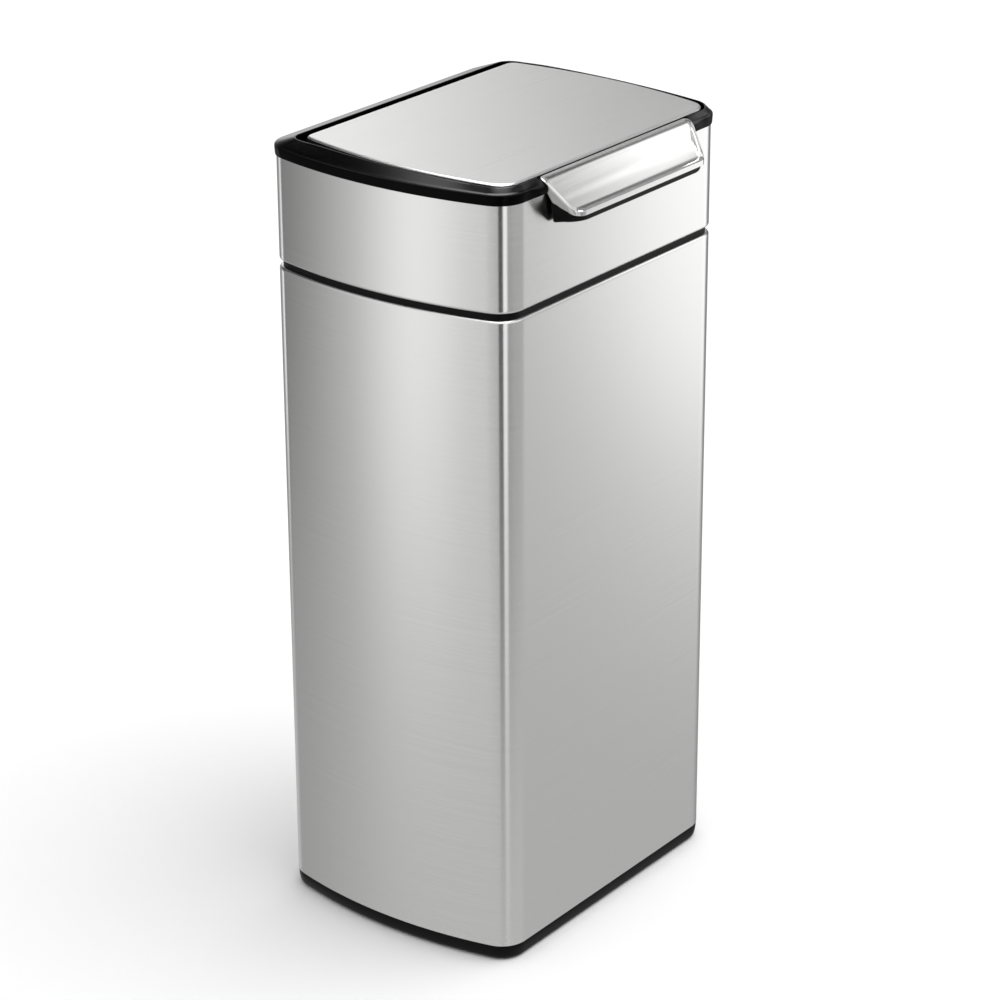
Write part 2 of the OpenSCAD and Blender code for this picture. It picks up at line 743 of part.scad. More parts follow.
module sector_gear() {
  // a gap faces the pinion; the teeth reach over the lid's travel
  first = -2;
  last = 9;
  step = 360 / sector_teeth;
  along_x(gear_x0 - 2, gear_x0 + gear_w) translate([lid_axis_y, lid_axis_z]) circle(lid_boss_r);
  along_x(gear_x0, gear_x0 + gear_w) translate([lid_axis_y, lid_axis_z]) rotate(180 + damper_angle) {
    for (i = [first:last]) rotate(step * (i - 0.5)) tooth(sector_teeth);
    root = sector_r - tooth_ded * gear_m;
    a0 = step * (first - 1);
    a1 = step * last;
    polygon(concat([[0, 0]], arc(0, 0, root, a0, a1, 24, 0, 24)));
  }
}

module lid_tray() color(black) difference() {
  union() {
    on_lid() {
      slab(-sheet_t - tray_t, -sheet_t, lid_plan(-sheet_t - seat_fit));
      // rim, open behind each hinge for the ears of its bracket
      translate([0, 0, -tray_depth]) linear_extrude(tray_depth - sheet_t - tray_t / 2) difference() {
        polygon(lid_plan(-sheet_t - seat_fit));
        polygon(lid_plan(-sheet_t - seat_fit - tray_t));
        for (s = [-1, 1]) translate([s * (ear_x0 + ear_x1 + ear_t) / 2, lid_d / 2])
          square([ear_x1 - ear_x0 + ear_t + 3, 16], center = true);
      }
      rib_in = lid_rib_in + lid_rib_w;
      wall(-tray_depth + 1.6, -sheet_t - tray_t / 2,
        bowed(lid_w - 2 * lid_rib_in, lid_d - 2 * lid_rib_in, lid_bow / 2, lid_rib_r, lid_rib_r),
        bowed(lid_w - 2 * rib_in, lid_d - 2 * rib_in, lid_bow / 2, lid_rib_r - lid_rib_w,
          lid_rib_r - lid_rib_w));
    }
    both_sides() {
      rod_x(lid_arm_x, lid_arm_x + lid_arm_t, lid_axis_y, lid_axis_z, lid_boss_r);
      box([lid_arm_x, lid_axis_y - lid_boss_r, lid_axis_z],
          [lid_arm_x + lid_arm_t, lid_axis_y + lid_boss_r - 0.5, lid_axis_z + lid_boss_r - 0.1]);
    }
    sector_gear();
  }
  both_sides() rod_x(lid_arm_x - 8, lid_arm_x + lid_arm_t + 1, lid_axis_y, lid_axis_z,
    lid_pin_d / 2 + run_fit);
}

// Height of the tray's underside
function tray_under(y) = lid_top(y) - (sheet_t + tray_t) / cos(lid_tilt);

module lid_striker() color(zinc) {
  top = tray_under(striker_y - 6);
  ledge_z = latch_nose_z - 0.5;
  along_x(-striker_w / 2, striker_w / 2) polygon([
    [striker_y - 6, top], [striker_y - 6, top - 2], [striker_y, top - 2.2], [striker_y, ledge_z - 3.6],
    [striker_y + 3, ledge_z - 4], [latch_y - latch_t - 1.2, ledge_z - 1.6],
    [latch_y - latch_t - 1.2, ledge_z], [striker_y + 3, ledge_z], [striker_y + 3, top - 2],
    [striker_y + 9, top - 2], [striker_y + 9, tray_under(striker_y + 9)]]);
}

module lid_bumpers() color(rubber) {
  both_sides() translate([bumper_x, bumper_y, bumper_ledge_z]) cylinder(r = bumper_r, h = bumper_h);
}

// ---- Touch bar ----

// Outer face of the bar in (y, z), from the back of its top to the bottom of its lip
function bar_face(o) =
  let (ty = bar_top_y, tz = bar_top_z, fy = bar_face_y, lz = bar_low_z,
       sy = ty - bar_strip, sz = tz - 0.7, ey = fy + 3, ez = lz + lip_h)
  concat(
    [[ty, tz - o], [sy + o * 0.4, sz - o]],
    [for (i = [1:3]) let (a = 90 + 45 * i / 3.4)
      [sy + 2.6 * cos(a) * (1 - o / 3), sz - 2.6 + 2.6 * sin(a) - o * 0.8]],
    [for (i = [1:5]) let (t = i / 6, y = sy - 2.2 + (ey - sy + 2.2) * t, z = sz - 1.9 + (ez - sz + 1.5) * t)
      [y + (bar_dish * sin(180 * t) + o) * 0.7, z - (bar_dish * sin(180 * t) + o) * 0.7]],
    [[ey + 1 + o * 0.7, ez - 0.5 - o], [ey - 1.6 + o * 0.5, ez - o],
     [fy + 0.4 + o, ez - 0.5 - o * 0.8], [fy + o, ez - 1.4 - o * 0.6],
     [fy + o, lz + 0.8], [fy + 0.8 + o, lz]]);

// Cuts a length along X to the slanted ends of the bar, drawn in by inset
module bar_ends(inset) {
  z_hi = bar_top_z + 6;
  z_lo = bar_low_z - 14;
  intersection() {
    children();
    translate([0, front_y + 40, 0]) rotate([90, 0, 0]) linear_extrude(90) polygon([
      [bar_half(z_hi) - inset, z_hi], [-bar_half(z_hi) + inset, z_hi],
      [-bar_half(z_lo) + inset, z_lo], [bar_half(z_lo) - inset, z_lo]]);
  }
}

module bar_skin() color(steel) {
  under = [[bar_face_y + 6.5, bar_low_z + 0.8], [bar_face_y + 12.5, bar_low_z + 3],
    [bar_face_y + 20.3, bar_low_z + 8], [bar_face_y + 25.2, bar_low_z + 15.6],
    [bar_top_y - 5.4, bar_top_z - 7], [bar_top_y - 2, bar_top_z - 3.6], [bar_top_y, bar_top_z - 2.2]];
  difference() {
    bar_ends(0) along_x(-bar_top_w / 2, bar_top_w / 2) polygon(concat(bar_face(0), under));
    bar_ends(skin_t) along_x(-bar_top_w / 2, bar_top_w / 2) polygon(concat(
      bar_face(skin_t), [[bar_face_y + 14, bar_low_z - 8], [bar_top_y + 6, bar_low_z - 8],
      [bar_top_y + 6, bar_top_z - skin_t]]));
  }
}

// Outline of the core under the skin, and of the hollow inside it
function core_section(o) = concat(
  [for (p = bar_face(skin_t + 0.15)) [p[0], min(p[1], bar_top_z - skin_t - 0.15)]],
  [[bar_face_y + skin_t + 0.6, bar_low_z - core_show + 1.4], [bar_face_y + 2.6, bar_low_z - core_show],
   [core_back_y - 1.5, bar_low_z - core_show - 3.4], [core_back_y, bar_low_z - core_show - 2],
   [core_back_y, bridge_z0], [bar_top_y, bridge_z0]]);

module bar_core() color(black) {
  difference() {
    union() {
      difference() {
        bar_ends(skin_t + 0.15) along_x(-bar_top_w / 2, bar_top_w / 2) polygon(core_section(0));
        // hollow, open towards the skin
        bar_ends(skin_t + core_t) along_x(-bar_top_w / 2, bar_top_w / 2) polygon([
          [bar_face_y + 5, bar_low_z - core_show + core_t],
          [core_back_y - core_t, bar_low_z - core_show - 0.2],
          [core_back_y - core_t, bridge_z1], [bar_top_y - bar_strip - 1, bar_top_z - 1],
          [bar_top_y - bar_strip - 6, bar_top_z + 4], [bar_face_y - 10, bar_low_z + 14],
          [bar_face_y + 5, bar_low_z + 3]]);
      }
      // ribs that back the skin
      for (i = [-2:2]) bar_ends(skin_t + 0.15) along_x(i * bar_low_w / 6 - 1, i * bar_low_w / 6 + 1)
        polygon(core_section(0));
      // bridge under the lid's front edge
      box([-bar_arm_x - bar_arm_t - 1, core_back_y - 1, bridge_z0],
          [bar_arm_x + bar_arm_t + 1, bridge_back_y, bridge_z1]);
      // arms
      both_sides() {
        box([bar_arm_x, pivot_y - 4.5, pivot_z], [bar_arm_x + bar_arm_t, bridge_back_y, bridge_z1]);
        rod_x(bar_arm_x, bar_arm_x + bar_arm_t, pivot_y, pivot_z, pivot_pin_d / 2 + 2.8);
      }
      // finger that bends the latch
      box([-finger_w / 2, pivot_y + 2, pivot_z - 14.5], [finger_w / 2, pivot_y + 5, bridge_z1]);
      box([-finger_w / 2, pivot_y + 2, pivot_z - 14.5],
          [finger_w / 2, latch_y - latch_t - 0.3, pivot_z - 10.5]);
    }
    both_sides() rod_x(bar_arm_x - 1, bar_arm_x + bar_arm_t + 1, pivot_y, pivot_z,
      pivot_pin_d / 2 + run_fit);
  }
}

module bar_pivot_pins() color(zinc) {
  both_sides() rod_x(bar_arm_x - 2 - bar_arm_t, bar_arm_x + 2 * bar_arm_t + 9, pivot_y, pivot_z,
    pivot_pin_d / 2);
}

// Torsion spring round each pivot pin, one leg on the frame and one along the arm
function bar_spring_path() =
  let (x0 = bar_arm_x + bar_arm_t + 0.8, x1 = x0 + bar_coil_l, r = bar_coil_r)
  concat(
    [[x0, pivot_y + r, pivot_z + 14], [x0, pivot_y + r, pivot_z + 5]],
    coil_points(x0, x1, pivot_y, pivot_z, r, 0, -360 * bar_coil_turns, 8 * bar_coil_turns),
    [[x1, pivot_y - r - 0.3, pivot_z + 4], [x1, front_y + frame_off + frame_t + 0.8, pivot_z + 9]]);

module bar_springs() color(spring_steel) {
  both_sides() tube(bar_spring_path(), bar_wire_d / 2, 6, [0, 1, 0.2]);
}

// ---- Latch ----

module latch_spring() color(spring_steel) difference() {
  along_x(-latch_w / 2, latch_w / 2) polygon([
    [latch_y - 16, latch_z0], [latch_y, latch_z0], [latch_y, latch_nose_z + 4],
    [latch_y - latch_t, latch_nose_z + 4], [latch_y - latch_t - latch_hold - 1.2, latch_nose_z + 0.8],
    [latch_y - latch_t - latch_hold - 1.2, latch_nose_z], [latch_y - latch_t, latch_nose_z],
    [latch_y - latch_t, latch_z0 + latch_t], [latch_y - 16, latch_z0 + latch_t]]);
  for (s = [-1, 1]) translate([s * latch_w / 4, latch_screw_y, latch_z0 - 1]) cylinder(r = 1.4, h = 4);
}

module latch_screws() color(zinc) {
  for (s = [-1, 1]) translate([s * latch_w / 4, latch_screw_y, latch_z0 + latch_t])
    screw(1.25, 2.4, 1.2, 5);
}

base_tray();
body_shell();
seam_ring();
collar_hinge_pins();
collar_band();
collar_frame();
bezel();
bezel_screws();
hinge_bracket_left();
hinge_bracket_right();
bracket_screws();
lid_hinge_pins();
lid_springs();
damper_housing();
damper_pinion();
lid_panel();
lid_tray();
lid_striker();
lid_bumpers();
bar_skin();
bar_core();
bar_pivot_pins();
bar_springs();
latch_spring();
latch_screws();
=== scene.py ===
"""Touch-bar kitchen bin: brushed steel body and collar, black bezel, steel lid and touch bar."""

from functools import partial
from math import atan2, cos, hypot, pi, radians, sin, sqrt, tan

import bmesh
import bpy
from mathutils import Matrix, Vector


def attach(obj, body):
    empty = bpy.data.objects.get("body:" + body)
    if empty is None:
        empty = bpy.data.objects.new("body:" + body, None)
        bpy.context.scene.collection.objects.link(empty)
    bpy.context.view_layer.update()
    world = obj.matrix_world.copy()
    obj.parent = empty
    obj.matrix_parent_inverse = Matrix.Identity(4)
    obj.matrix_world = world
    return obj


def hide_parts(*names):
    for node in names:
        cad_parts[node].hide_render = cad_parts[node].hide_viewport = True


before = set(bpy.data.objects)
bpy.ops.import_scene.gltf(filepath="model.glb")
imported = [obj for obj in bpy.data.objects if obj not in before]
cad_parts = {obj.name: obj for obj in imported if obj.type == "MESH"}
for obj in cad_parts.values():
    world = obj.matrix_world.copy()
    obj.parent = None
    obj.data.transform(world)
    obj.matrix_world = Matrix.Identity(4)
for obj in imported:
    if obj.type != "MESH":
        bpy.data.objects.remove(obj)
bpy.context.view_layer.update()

MM = 0.001

# Sizes in millimetres, as in the part's source
BODY_W, BODY_D, SIDE_BOW, CORNER_R = 321.0, 241.0, 18.0, 24.0
BASE_H, BODY_H, SEAM_H, COLLAR_H = 14.3, 555.0, 5.6, 87.8
BAND_H, BEZEL_T = 9.5, 2.4
HEM_R, HEM_W, SHEET_T = 2.4, 6.0, 0.8
LID_W, LID_D, LID_BOW, LID_FRONT_R, LID_BACK_R = 297.6, 203.7, 12.5, 19.0, 10.0
LID_FRONT_IN, LID_RISE, LID_TILT = 5.9, 4.9, 1.13
LID_GAP, LID_FRONT_GAP, LID_BACK_GAP, LID_FOLD = 1.4, 1.2, 8.4, 5.0
OPENING_BOW, OPENING_FRONT_R, OPENING_BACK_R, LIP_DROP = 9.0, 22.0, 12.0, 0.9
BAR_TOP_W, BAR_LOW_W, BAR_H = 202.0, 175.0, 28.6
KNUCKLE_X, KNUCKLE_HALF_W = 80.0, 8.0

BODY_Z1 = BASE_H + BODY_H
COLLAR_Z0 = BODY_Z1 + SEAM_H
COLLAR_Z1 = COLLAR_Z0 + COLLAR_H
BAND_Z1 = COLLAR_Z1 + BAND_H
FRONT_Y = -BODY_D / 2
LID_FRONT_Y = FRONT_Y + LID_FRONT_IN
LID_BACK_Y = LID_FRONT_Y + LID_D
LID_CY = (LID_FRONT_Y + LID_BACK_Y) / 2
LID_FRONT_Z = BAND_Z1 + LID_RISE
LID_Z = LID_FRONT_Z + tan(radians(LID_TILT)) * LID_D / 2
SILL_Z = COLLAR_Z1 + 1.0
BAR_TOP_Y, BAR_TOP_Z = LID_FRONT_Y - 1.4, LID_FRONT_Z - 1.1
BAR_FACE_Y, BAR_LOW_Z = FRONT_Y - 27.0, BAR_TOP_Z - BAR_H

# Fineness: steps of the plans and of the swept walls, distances of points that become one
PLAN_SIDE_STEPS, PLAN_CORNER_STEPS, PLAN_FLAT_STEPS = 96, 20, 150
SWEEP_LONG_STEPS, SWEEP_CORNER_STEPS = 121, 25
SAME_POINT, SAME_CURVE_END = 1e-6, 1e-5


def lid_top(y):
    """Height of the lid's top face at y."""
    return LID_Z + tan(radians(LID_TILT)) * (y - LID_CY)


# ---- Plans and sections ----


def plan_values(width, depth, bow, corner):
    """Side radius, centre of the right side's arc, corner centre and the angle it starts at."""
    half = depth / 2
    side_r = (half * half + bow * bow) / (2 * bow)
    side_x = width / 2 - side_r
    corner_y = half - corner
    corner_x = side_x + sqrt((side_r - corner) ** 2 - corner_y**2)
    return side_r, side_x, corner_x, corner_y, atan2(corner_y, corner_x - side_x)


def arc_points(cx, cy, radius, start, end, steps):
    """Points along an arc, with both its ends."""
    return [(cx + radius * cos(start + (end - start) * i / steps),
             cy + radius * sin(start + (end - start) * i / steps)) for i in range(steps + 1)]


def round_plan(width, depth, bow, front_r, back_r, grow=0.0, middle_y=0.0):
    """Points round a plan with a flat front and back and bowed sides, from the right side."""
    side_n, corner_n, flat_n = PLAN_SIDE_STEPS, PLAN_CORNER_STEPS, PLAN_FLAT_STEPS
    side_r, side_x, fx, fy, fa = plan_values(width, depth, bow, front_r)
    _, _, bx, by, ba = plan_values(width, depth, bow, back_r)
    points = arc_points(side_x, 0, side_r + grow, -fa, ba, side_n)
    points += arc_points(bx, by, back_r + grow, ba, pi / 2, corner_n)[1:]
    points += [(bx - 2 * bx * i / flat_n, by + back_r + grow) for i in range(1, flat_n)]
    points += arc_points(-bx, by, back_r + grow, pi / 2, pi - ba, corner_n)
    points += arc_points(-side_x, 0, side_r + grow, pi - ba, pi + fa, side_n)[1:]
    points += arc_points(-fx, -fy, front_r + grow, pi + fa, 3 * pi / 2, corner_n)[1:]
    points += [(-fx + 2 * fx * i / flat_n, -fy - front_r - grow) for i in range(1, flat_n)]
    points += arc_points(fx, -fy, front_r + grow, 3 * pi / 2, 2 * pi - fa, corner_n)[:-1]
    return [(x, y + middle_y) for x, y in points]


def smooth(t):
    """Eases from 0 to 1 as t does."""
    t = max(0.0, min(1.0, t))
    return t * t * (3 - 2 * t)


def body_plan(grow=0.0):
    return round_plan(BODY_W, BODY_D, SIDE_BOW, CORNER_R, CORNER_R, grow)


def lid_plan(grow=0.0):
    return round_plan(LID_W, LID_D, LID_BOW, LID_FRONT_R, LID_BACK_R, grow)


def opening_plan(grow=0.0):
    """Plan of the bezel's opening, wider and deeper than the lid by its gaps."""
    return round_plan(LID_W + 2 * LID_GAP, LID_D + LID_FRONT_GAP + LID_BACK_GAP, OPENING_BOW,
                      OPENING_FRONT_R, OPENING_BACK_R, grow,
                      LID_CY + (LID_BACK_GAP - LID_FRONT_GAP) / 2)


def level(plan, z):
    """A plan laid flat at height z."""
    return [(x, y, z) for x, y in plan]


def sloped(plan, dz):
    """A plan laid dz over the plane of the lid's top."""
    return [(x, y, lid_top(y) + dz) for x, y in plan]


# ---- Making pieces ----


def finish_mesh(mesh, sharp_deg=32):
    """Merges doubles, turns the faces outwards and shades them smooth up to an angle."""
    bm = bmesh.new()
    bm.from_mesh(mesh)
    bmesh.ops.remove_doubles(bm, verts=bm.verts, dist=SAME_POINT)
    bmesh.ops.recalc_face_normals(bm, faces=bm.faces)
    bm.to_mesh(mesh)
    bm.free()
    mesh.polygons.foreach_set("use_smooth", [True] * len(mesh.polygons))
    mesh.set_sharp_from_angle(angle=radians(sharp_deg))
    mesh.update()


def add_object(name, mesh):
    piece = bpy.data.objects.new(name, mesh)
    bpy.context.scene.collection.objects.link(piece)
    return piece


def mesh_of(bm, name):
    mesh = bpy.data.meshes.new(name)
    bm.to_mesh(mesh)
    bm.free()
    return mesh


def mesh_from(name, points_mm, faces):
    mesh = bpy.data.meshes.new(name)
    mesh.from_pydata([Vector(p) * MM for p in points_mm], [], faces)
    mesh.update()
    return mesh


def settle(piece, body, material, nodes=()):
    """Gives a finished piece its material and body, and hides the nodes that it stands for."""
    piece.data.materials.clear()
    piece.data.materials.append(material)
    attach(piece, body)
    if nodes:
        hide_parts(*nodes)
    return piece


def evaluated(piece):
    """Applies a piece's modifiers and leaves it a plain mesh."""
    bpy.context.view_layer.update()
    graph = bpy.context.evaluated_depsgraph_get()
    mesh = bpy.data.meshes.new_from_object(piece.evaluated_get(graph))
    piece.modifiers.clear()
    old = piece.data
    piece.data = mesh
    mesh.name = piece.name
    bpy.data.meshes.remove(old)
    return piece


def loft_piece(name, rings):
    """A solid through rings with the same number of points, closed at both ends."""
    count = len(rings[0])
    points = [p for ring in rings for p in ring]
    faces = []
    for j in range(len(rings) - 1):
        for i in range(count):
            a, b = j * count + i, j * count + (i + 1) % count
            faces.append((a, b, b + count, a + count))
    faces.append(tuple(range(count - 1, -1, -1)))
    faces.append(tuple(range((len(rings) - 1) * count, len(rings) * count)))
    return add_object(name, mesh_from(name, points, faces))


def closed_loft(name, rings):
    """A band through rings whose last ring joins the first."""
    count = len(rings[0])
    total = len(rings)
    points = [p for ring in rings for p in ring]
    faces = []
    for j in range(total):
        k = (j + 1) % total
        for i in range(count):
            n = (i + 1) % count
            faces.append((j * count + i, j * count + n, k * count + n, k * count + i))
    return add_object(name, mesh_from(name, points, faces))


def add_box(bm, low, high):
    """Adds a box between two corners, in millimetres, and returns its points."""
    made = bmesh.ops.create_cube(bm, size=1.0)
    for v in made["verts"]:
        v.co = Vector([((h - l) * c + (h + l) / 2) * MM for c, l, h in zip(v.co, low, high)])
    return made["verts"]


def add_boss(bm, x0, x1, y, z, radius, steps=40):
    """Adds a cylinder along X with flat ends, in millimetres."""
    circle = arc_points(y, z, radius, 0, 2 * pi, steps)[:-1]
    near, far = [[bm.verts.new(Vector((x, *p)) * MM) for p in circle] for x in (x0, x1)]
    for i in range(steps):
        n = (i + 1) % steps
        bm.faces.new((near[i], far[i], far[n], near[n]))
    bm.faces.new(near)
    bm.faces.new(far)


def box_cutter(low, high):
    bm = bmesh.new()
    add_box(bm, low, high)
    return add_object("cutter", mesh_of(bm, "cutter"))


def cut_away(piece, cutters):
    """Takes the cutters out of a piece and deletes them."""
    for cutter in cutters:
        mod = piece.modifiers.new("cut", "BOOLEAN")
        mod.operation = "DIFFERENCE"
        mod.solver = "EXACT"
        mod.object = cutter
    evaluated(piece)
    for cutter in cutters:
        mesh = cutter.data
        bpy.data.objects.remove(cutter)
        bpy.data.meshes.remove(mesh)


# ---- Node helpers ----


def put(links, socket, value):
    """Sets a socket to a number, or links another socket to it."""
    if isinstance(value, (int, float)):
        socket.default_value = value
    else:
        links.new(value, socket)


def math_node(tree, kind, a, b=None):
    node = tree.nodes.new("ShaderNodeMath")
    node.operation = kind
    put(tree.links, node.inputs[0], a)
    if b is not None:
        put(tree.links, node.inputs[1], b)
    return node.outputs[0]


def mapped(tree, value, from_range, to_range):
    """Carries a socket's value from one range to another."""
    node = tree.nodes.new("ShaderNodeMapRange")
    node.inputs["From Min"].default_value, node.inputs["From Max"].default_value = from_range
    node.inputs["To Min"].default_value, node.inputs["To Max"].default_value = to_range
    tree.links.new(value, node.inputs["Value"])
    return node.outputs["Result"]


# ---- Geometry Nodes: a section swept round the bowed plan ----


def plan_sweep_tree():
    """Builds the plan from its named sizes and sweeps the modifier's own section round it."""
    tree = bpy.data.node_groups.new("sweep_round_bowed_plan", "GeometryNodeTree")
    face = tree.interface
    face.new_socket("Section", in_out="INPUT", socket_type="NodeSocketGeometry")
    sizes = ("Side Radius", "Side Centre X", "Side Half Angle", "Corner Radius", "Corner X",
             "Corner Y")
    for name in sizes:
        face.new_socket(name, in_out="INPUT", socket_type="NodeSocketFloat")
    face.new_socket("Finish", in_out="INPUT", socket_type="NodeSocketMaterial")
    face.new_socket("Swept", in_out="OUTPUT", socket_type="NodeSocketGeometry")
    nodes, links = tree.nodes, tree.links
    given = nodes.new("NodeGroupInput")
    result = nodes.new("NodeGroupOutput")

    def point(x, y):
        node = nodes.new("ShaderNodeCombineXYZ")
        put(links, node.inputs[0], x)
        put(links, node.inputs[1], y)
        return node.outputs[0]

    def arc(steps, radius, start, sweep, x, y):
        node = nodes.new("GeometryNodeCurveArc")
        node.mode = "RADIUS"
        node.inputs["Resolution"].default_value = steps
        put(links, node.inputs["Radius"], radius)
        put(links, node.inputs["Start Angle"], start)
        put(links, node.inputs["Sweep Angle"], sweep)
        move = nodes.new("GeometryNodeTransform")
        links.new(node.outputs["Curve"], move.inputs["Geometry"])
        links.new(point(x, y), move.inputs["Translation"])
        return move.outputs["Geometry"]

    def line(x0, y0, x1, y1):
        node = nodes.new("GeometryNodeCurvePrimitiveLine")
        links.new(point(x0, y0), node.inputs["Start"])
        links.new(point(x1, y1), node.inputs["End"])
        fine = nodes.new("GeometryNodeResampleCurve")
        links.new(node.outputs["Curve"], fine.inputs["Curve"])
        fine.inputs["Count"].default_value = SWEEP_LONG_STEPS
        return fine.outputs["Curve"]

    side_r, side_x = given.outputs["Side Radius"], given.outputs["Side Centre X"]
    half_a, corner_r = given.outputs["Side Half Angle"], given.outputs["Corner Radius"]
    cx, cy = given.outputs["Corner X"], given.outputs["Corner Y"]
    math = partial(math_node, tree)
    minus_a = math("MULTIPLY", half_a, -1.0)
    minus_x, minus_y = math("MULTIPLY", cx, -1.0), math("MULTIPLY", cy, -1.0)
    minus_side = math("MULTIPLY", side_x, -1.0)
    turn = math("SUBTRACT", pi / 2, half_a)
    double_a = math("MULTIPLY", half_a, 2.0)
    edge_y = math("ADD", cy, corner_r)
    minus_edge = math("MULTIPLY", edge_y, -1.0)
    left_start, left_corner = math("ADD", pi, minus_a), math("ADD", pi, half_a)
    side, corner = SWEEP_LONG_STEPS, SWEEP_CORNER_STEPS
    runs = [
        arc(side, side_r, minus_a, double_a, side_x, 0.0),
        arc(corner, corner_r, half_a, turn, cx, cy),
        line(cx, edge_y, minus_x, edge_y),
        arc(corner, corner_r, pi / 2, turn, minus_x, cy),
        arc(side, side_r, left_start, double_a, minus_side, 0.0),
        arc(corner, corner_r, left_corner, turn, minus_x, minus_y),
        line(minus_x, minus_edge, cx, minus_edge),
        arc(corner, corner_r, 1.5 * pi, turn, cx, minus_y),
    ]
    joined = nodes.new("GeometryNodeJoinGeometry")
    for run in reversed(runs):
        links.new(run, joined.inputs[0])
    edges = nodes.new("GeometryNodeCurveToMesh")
    links.new(joined.outputs[0], edges.inputs["Curve"])
    weld = nodes.new("GeometryNodeMergeByDistance")
    weld.inputs["Distance"].default_value = SAME_CURVE_END
    links.new(edges.outputs[0], weld.inputs["Geometry"])
    loop = nodes.new("GeometryNodeMeshToCurve")
    links.new(weld.outputs[0], loop.inputs["Mesh"])
    upright = nodes.new("GeometryNodeSetCurveNormal")
    upright.mode = "Z_UP"
    links.new(loop.outputs[0], upright.inputs["Curve"])
    section = nodes.new("GeometryNodeMeshToCurve")
    links.new(given.outputs["Section"], section.inputs["Mesh"])
    sweep = nodes.new("GeometryNodeCurveToMesh")
    links.new(upright.outputs[0], sweep.inputs["Curve"])
    links.new(section.outputs[0], sweep.inputs["Profile Curve"])
    real = nodes.new("GeometryNodeRealizeInstances")
    links.new(sweep.outputs[0], real.inputs[0])
    paint = nodes.new("GeometryNodeSetMaterial")
    links.new(real.outputs[0], paint.inputs["Geometry"])
    links.new(given.outputs["Finish"], paint.inputs["Material"])
    links.new(paint.outputs[0], result.inputs[0])
    return tree


PLAN_SWEEP = plan_sweep_tree()


def swept_piece(name, section, material):
    """Sweeps a closed section of (offset, height) points round the body's plan."""
    count = len(section)
    mesh = bpy.data.meshes.new(name)
    mesh.from_pydata([(o * MM, -z * MM, 0.0) for o, z in section],
                     [(i, (i + 1) % count) for i in range(count)], [])
    piece = add_object(name, mesh)
    mod = piece.modifiers.new("sweep", "NODES")
    mod.node_group = PLAN_SWEEP
    side_r, side_x, cx, cy, a = plan_values(BODY_W, BODY_D, SIDE_BOW, CORNER_R)
    values = {"Side Radius": side_r * MM, "Side Centre X": side_x * MM, "Side Half Angle": a,
              "Corner Radius": CORNER_R * MM, "Corner X": cx * MM, "Corner Y": cy * MM,
              "Finish": material}
    for item in PLAN_SWEEP.interface.items_tree:
        if item.item_type == "SOCKET" and item.name in values:
            mod[item.identifier] = values[item.name]
    evaluated(piece)
    return piece


# ---- Finishes ----

STEEL = (0.66, 0.66, 0.655)
STEEL_MOTTLE, GRAIN_BUMP, GRAIN_DEPTH = 0.03, 0.02, 0.0002
PLAIN_MOTTLE, PLAIN_GRAIN = 0.02, 900.0
# The part of the noise's range that is used, and the faces' upward tilt that is blended over
NOISE_RANGE, UPRIGHT_TO_LYING = (0.25, 0.75), (0.25, 0.6)


def new_material(name):
    material = bpy.data.materials.new(name)
    material.use_nodes = True
    return material, material.node_tree.nodes["Principled BSDF"], material.node_tree


def brushed_steel(name, stretch, roughness, grain=0.05, aniso=0.0):
    """Steel with a fine grain: noise drawn out along the brushing by its stretch."""
    material, shader, tree = new_material(name)
    nodes, links = tree.nodes, tree.links
    shader.inputs["Metallic"].default_value = 1.0
    shader.inputs["Anisotropic"].default_value = aniso
    shader.inputs["Anisotropic Rotation"].default_value = 0.25
    where = nodes.new("ShaderNodeTexCoord")
    scale = nodes.new("ShaderNodeMapping")
    scale.inputs["Scale"].default_value = stretch
    links.new(where.outputs["Object"], scale.inputs["Vector"])
    noise = nodes.new("ShaderNodeTexNoise")
    noise.inputs["Scale"].default_value = 1.0
    noise.inputs["Detail"].default_value = 3.0
    noise.inputs["Roughness"].default_value = 0.6
    links.new(scale.outputs["Vector"], noise.inputs["Vector"])
    tone = mapped(tree, noise.outputs["Fac"], NOISE_RANGE, (1.0 - grain, 1.0 + grain))
    tint = nodes.new("ShaderNodeVectorMath")
    tint.operation = "SCALE"
    tint.inputs[0].default_value = STEEL
    links.new(tone, tint.inputs["Scale"])
    links.new(tint.outputs["Vector"], shader.inputs["Base Color"])
    rough = mapped(tree, noise.outputs["Fac"], NOISE_RANGE,
                   (roughness - STEEL_MOTTLE, roughness + STEEL_MOTTLE))
    links.new(rough, shader.inputs["Roughness"])
    bump = nodes.new("ShaderNodeBump")
    bump.inputs["Strength"].default_value = GRAIN_BUMP
    bump.inputs["Distance"].default_value = GRAIN_DEPTH
    links.new(noise.outputs["Fac"], bump.inputs["Height"])
    links.new(bump.outputs["Normal"], shader.inputs["Normal"])
    return material


def plain_finish(name, color, roughness, metallic=0.0, specular=0.5):
    """Moulded plastic, rubber or plated steel with a faint grain in its gloss."""
    material, shader, tree = new_material(name)
    shader.inputs["Base Color"].default_value = (*color, 1.0)
    shader.inputs["Metallic"].default_value = metallic
    shader.inputs["Specular IOR Level"].default_value = specular
    where = tree.nodes.new("ShaderNodeTexCoord")
    noise = tree.nodes.new("ShaderNodeTexNoise")
    noise.inputs["Scale"].default_value = PLAIN_GRAIN
    noise.inputs["Detail"].default_value = 2.0
    tree.links.new(where.outputs["Object"], noise.inputs["Vector"])
    rough = mapped(tree, noise.outputs["Fac"], (0.0, 1.0),
                   (roughness - PLAIN_MOTTLE, roughness + PLAIN_MOTTLE))
    tree.links.new(rough, shader.inputs["Roughness"])
    return material


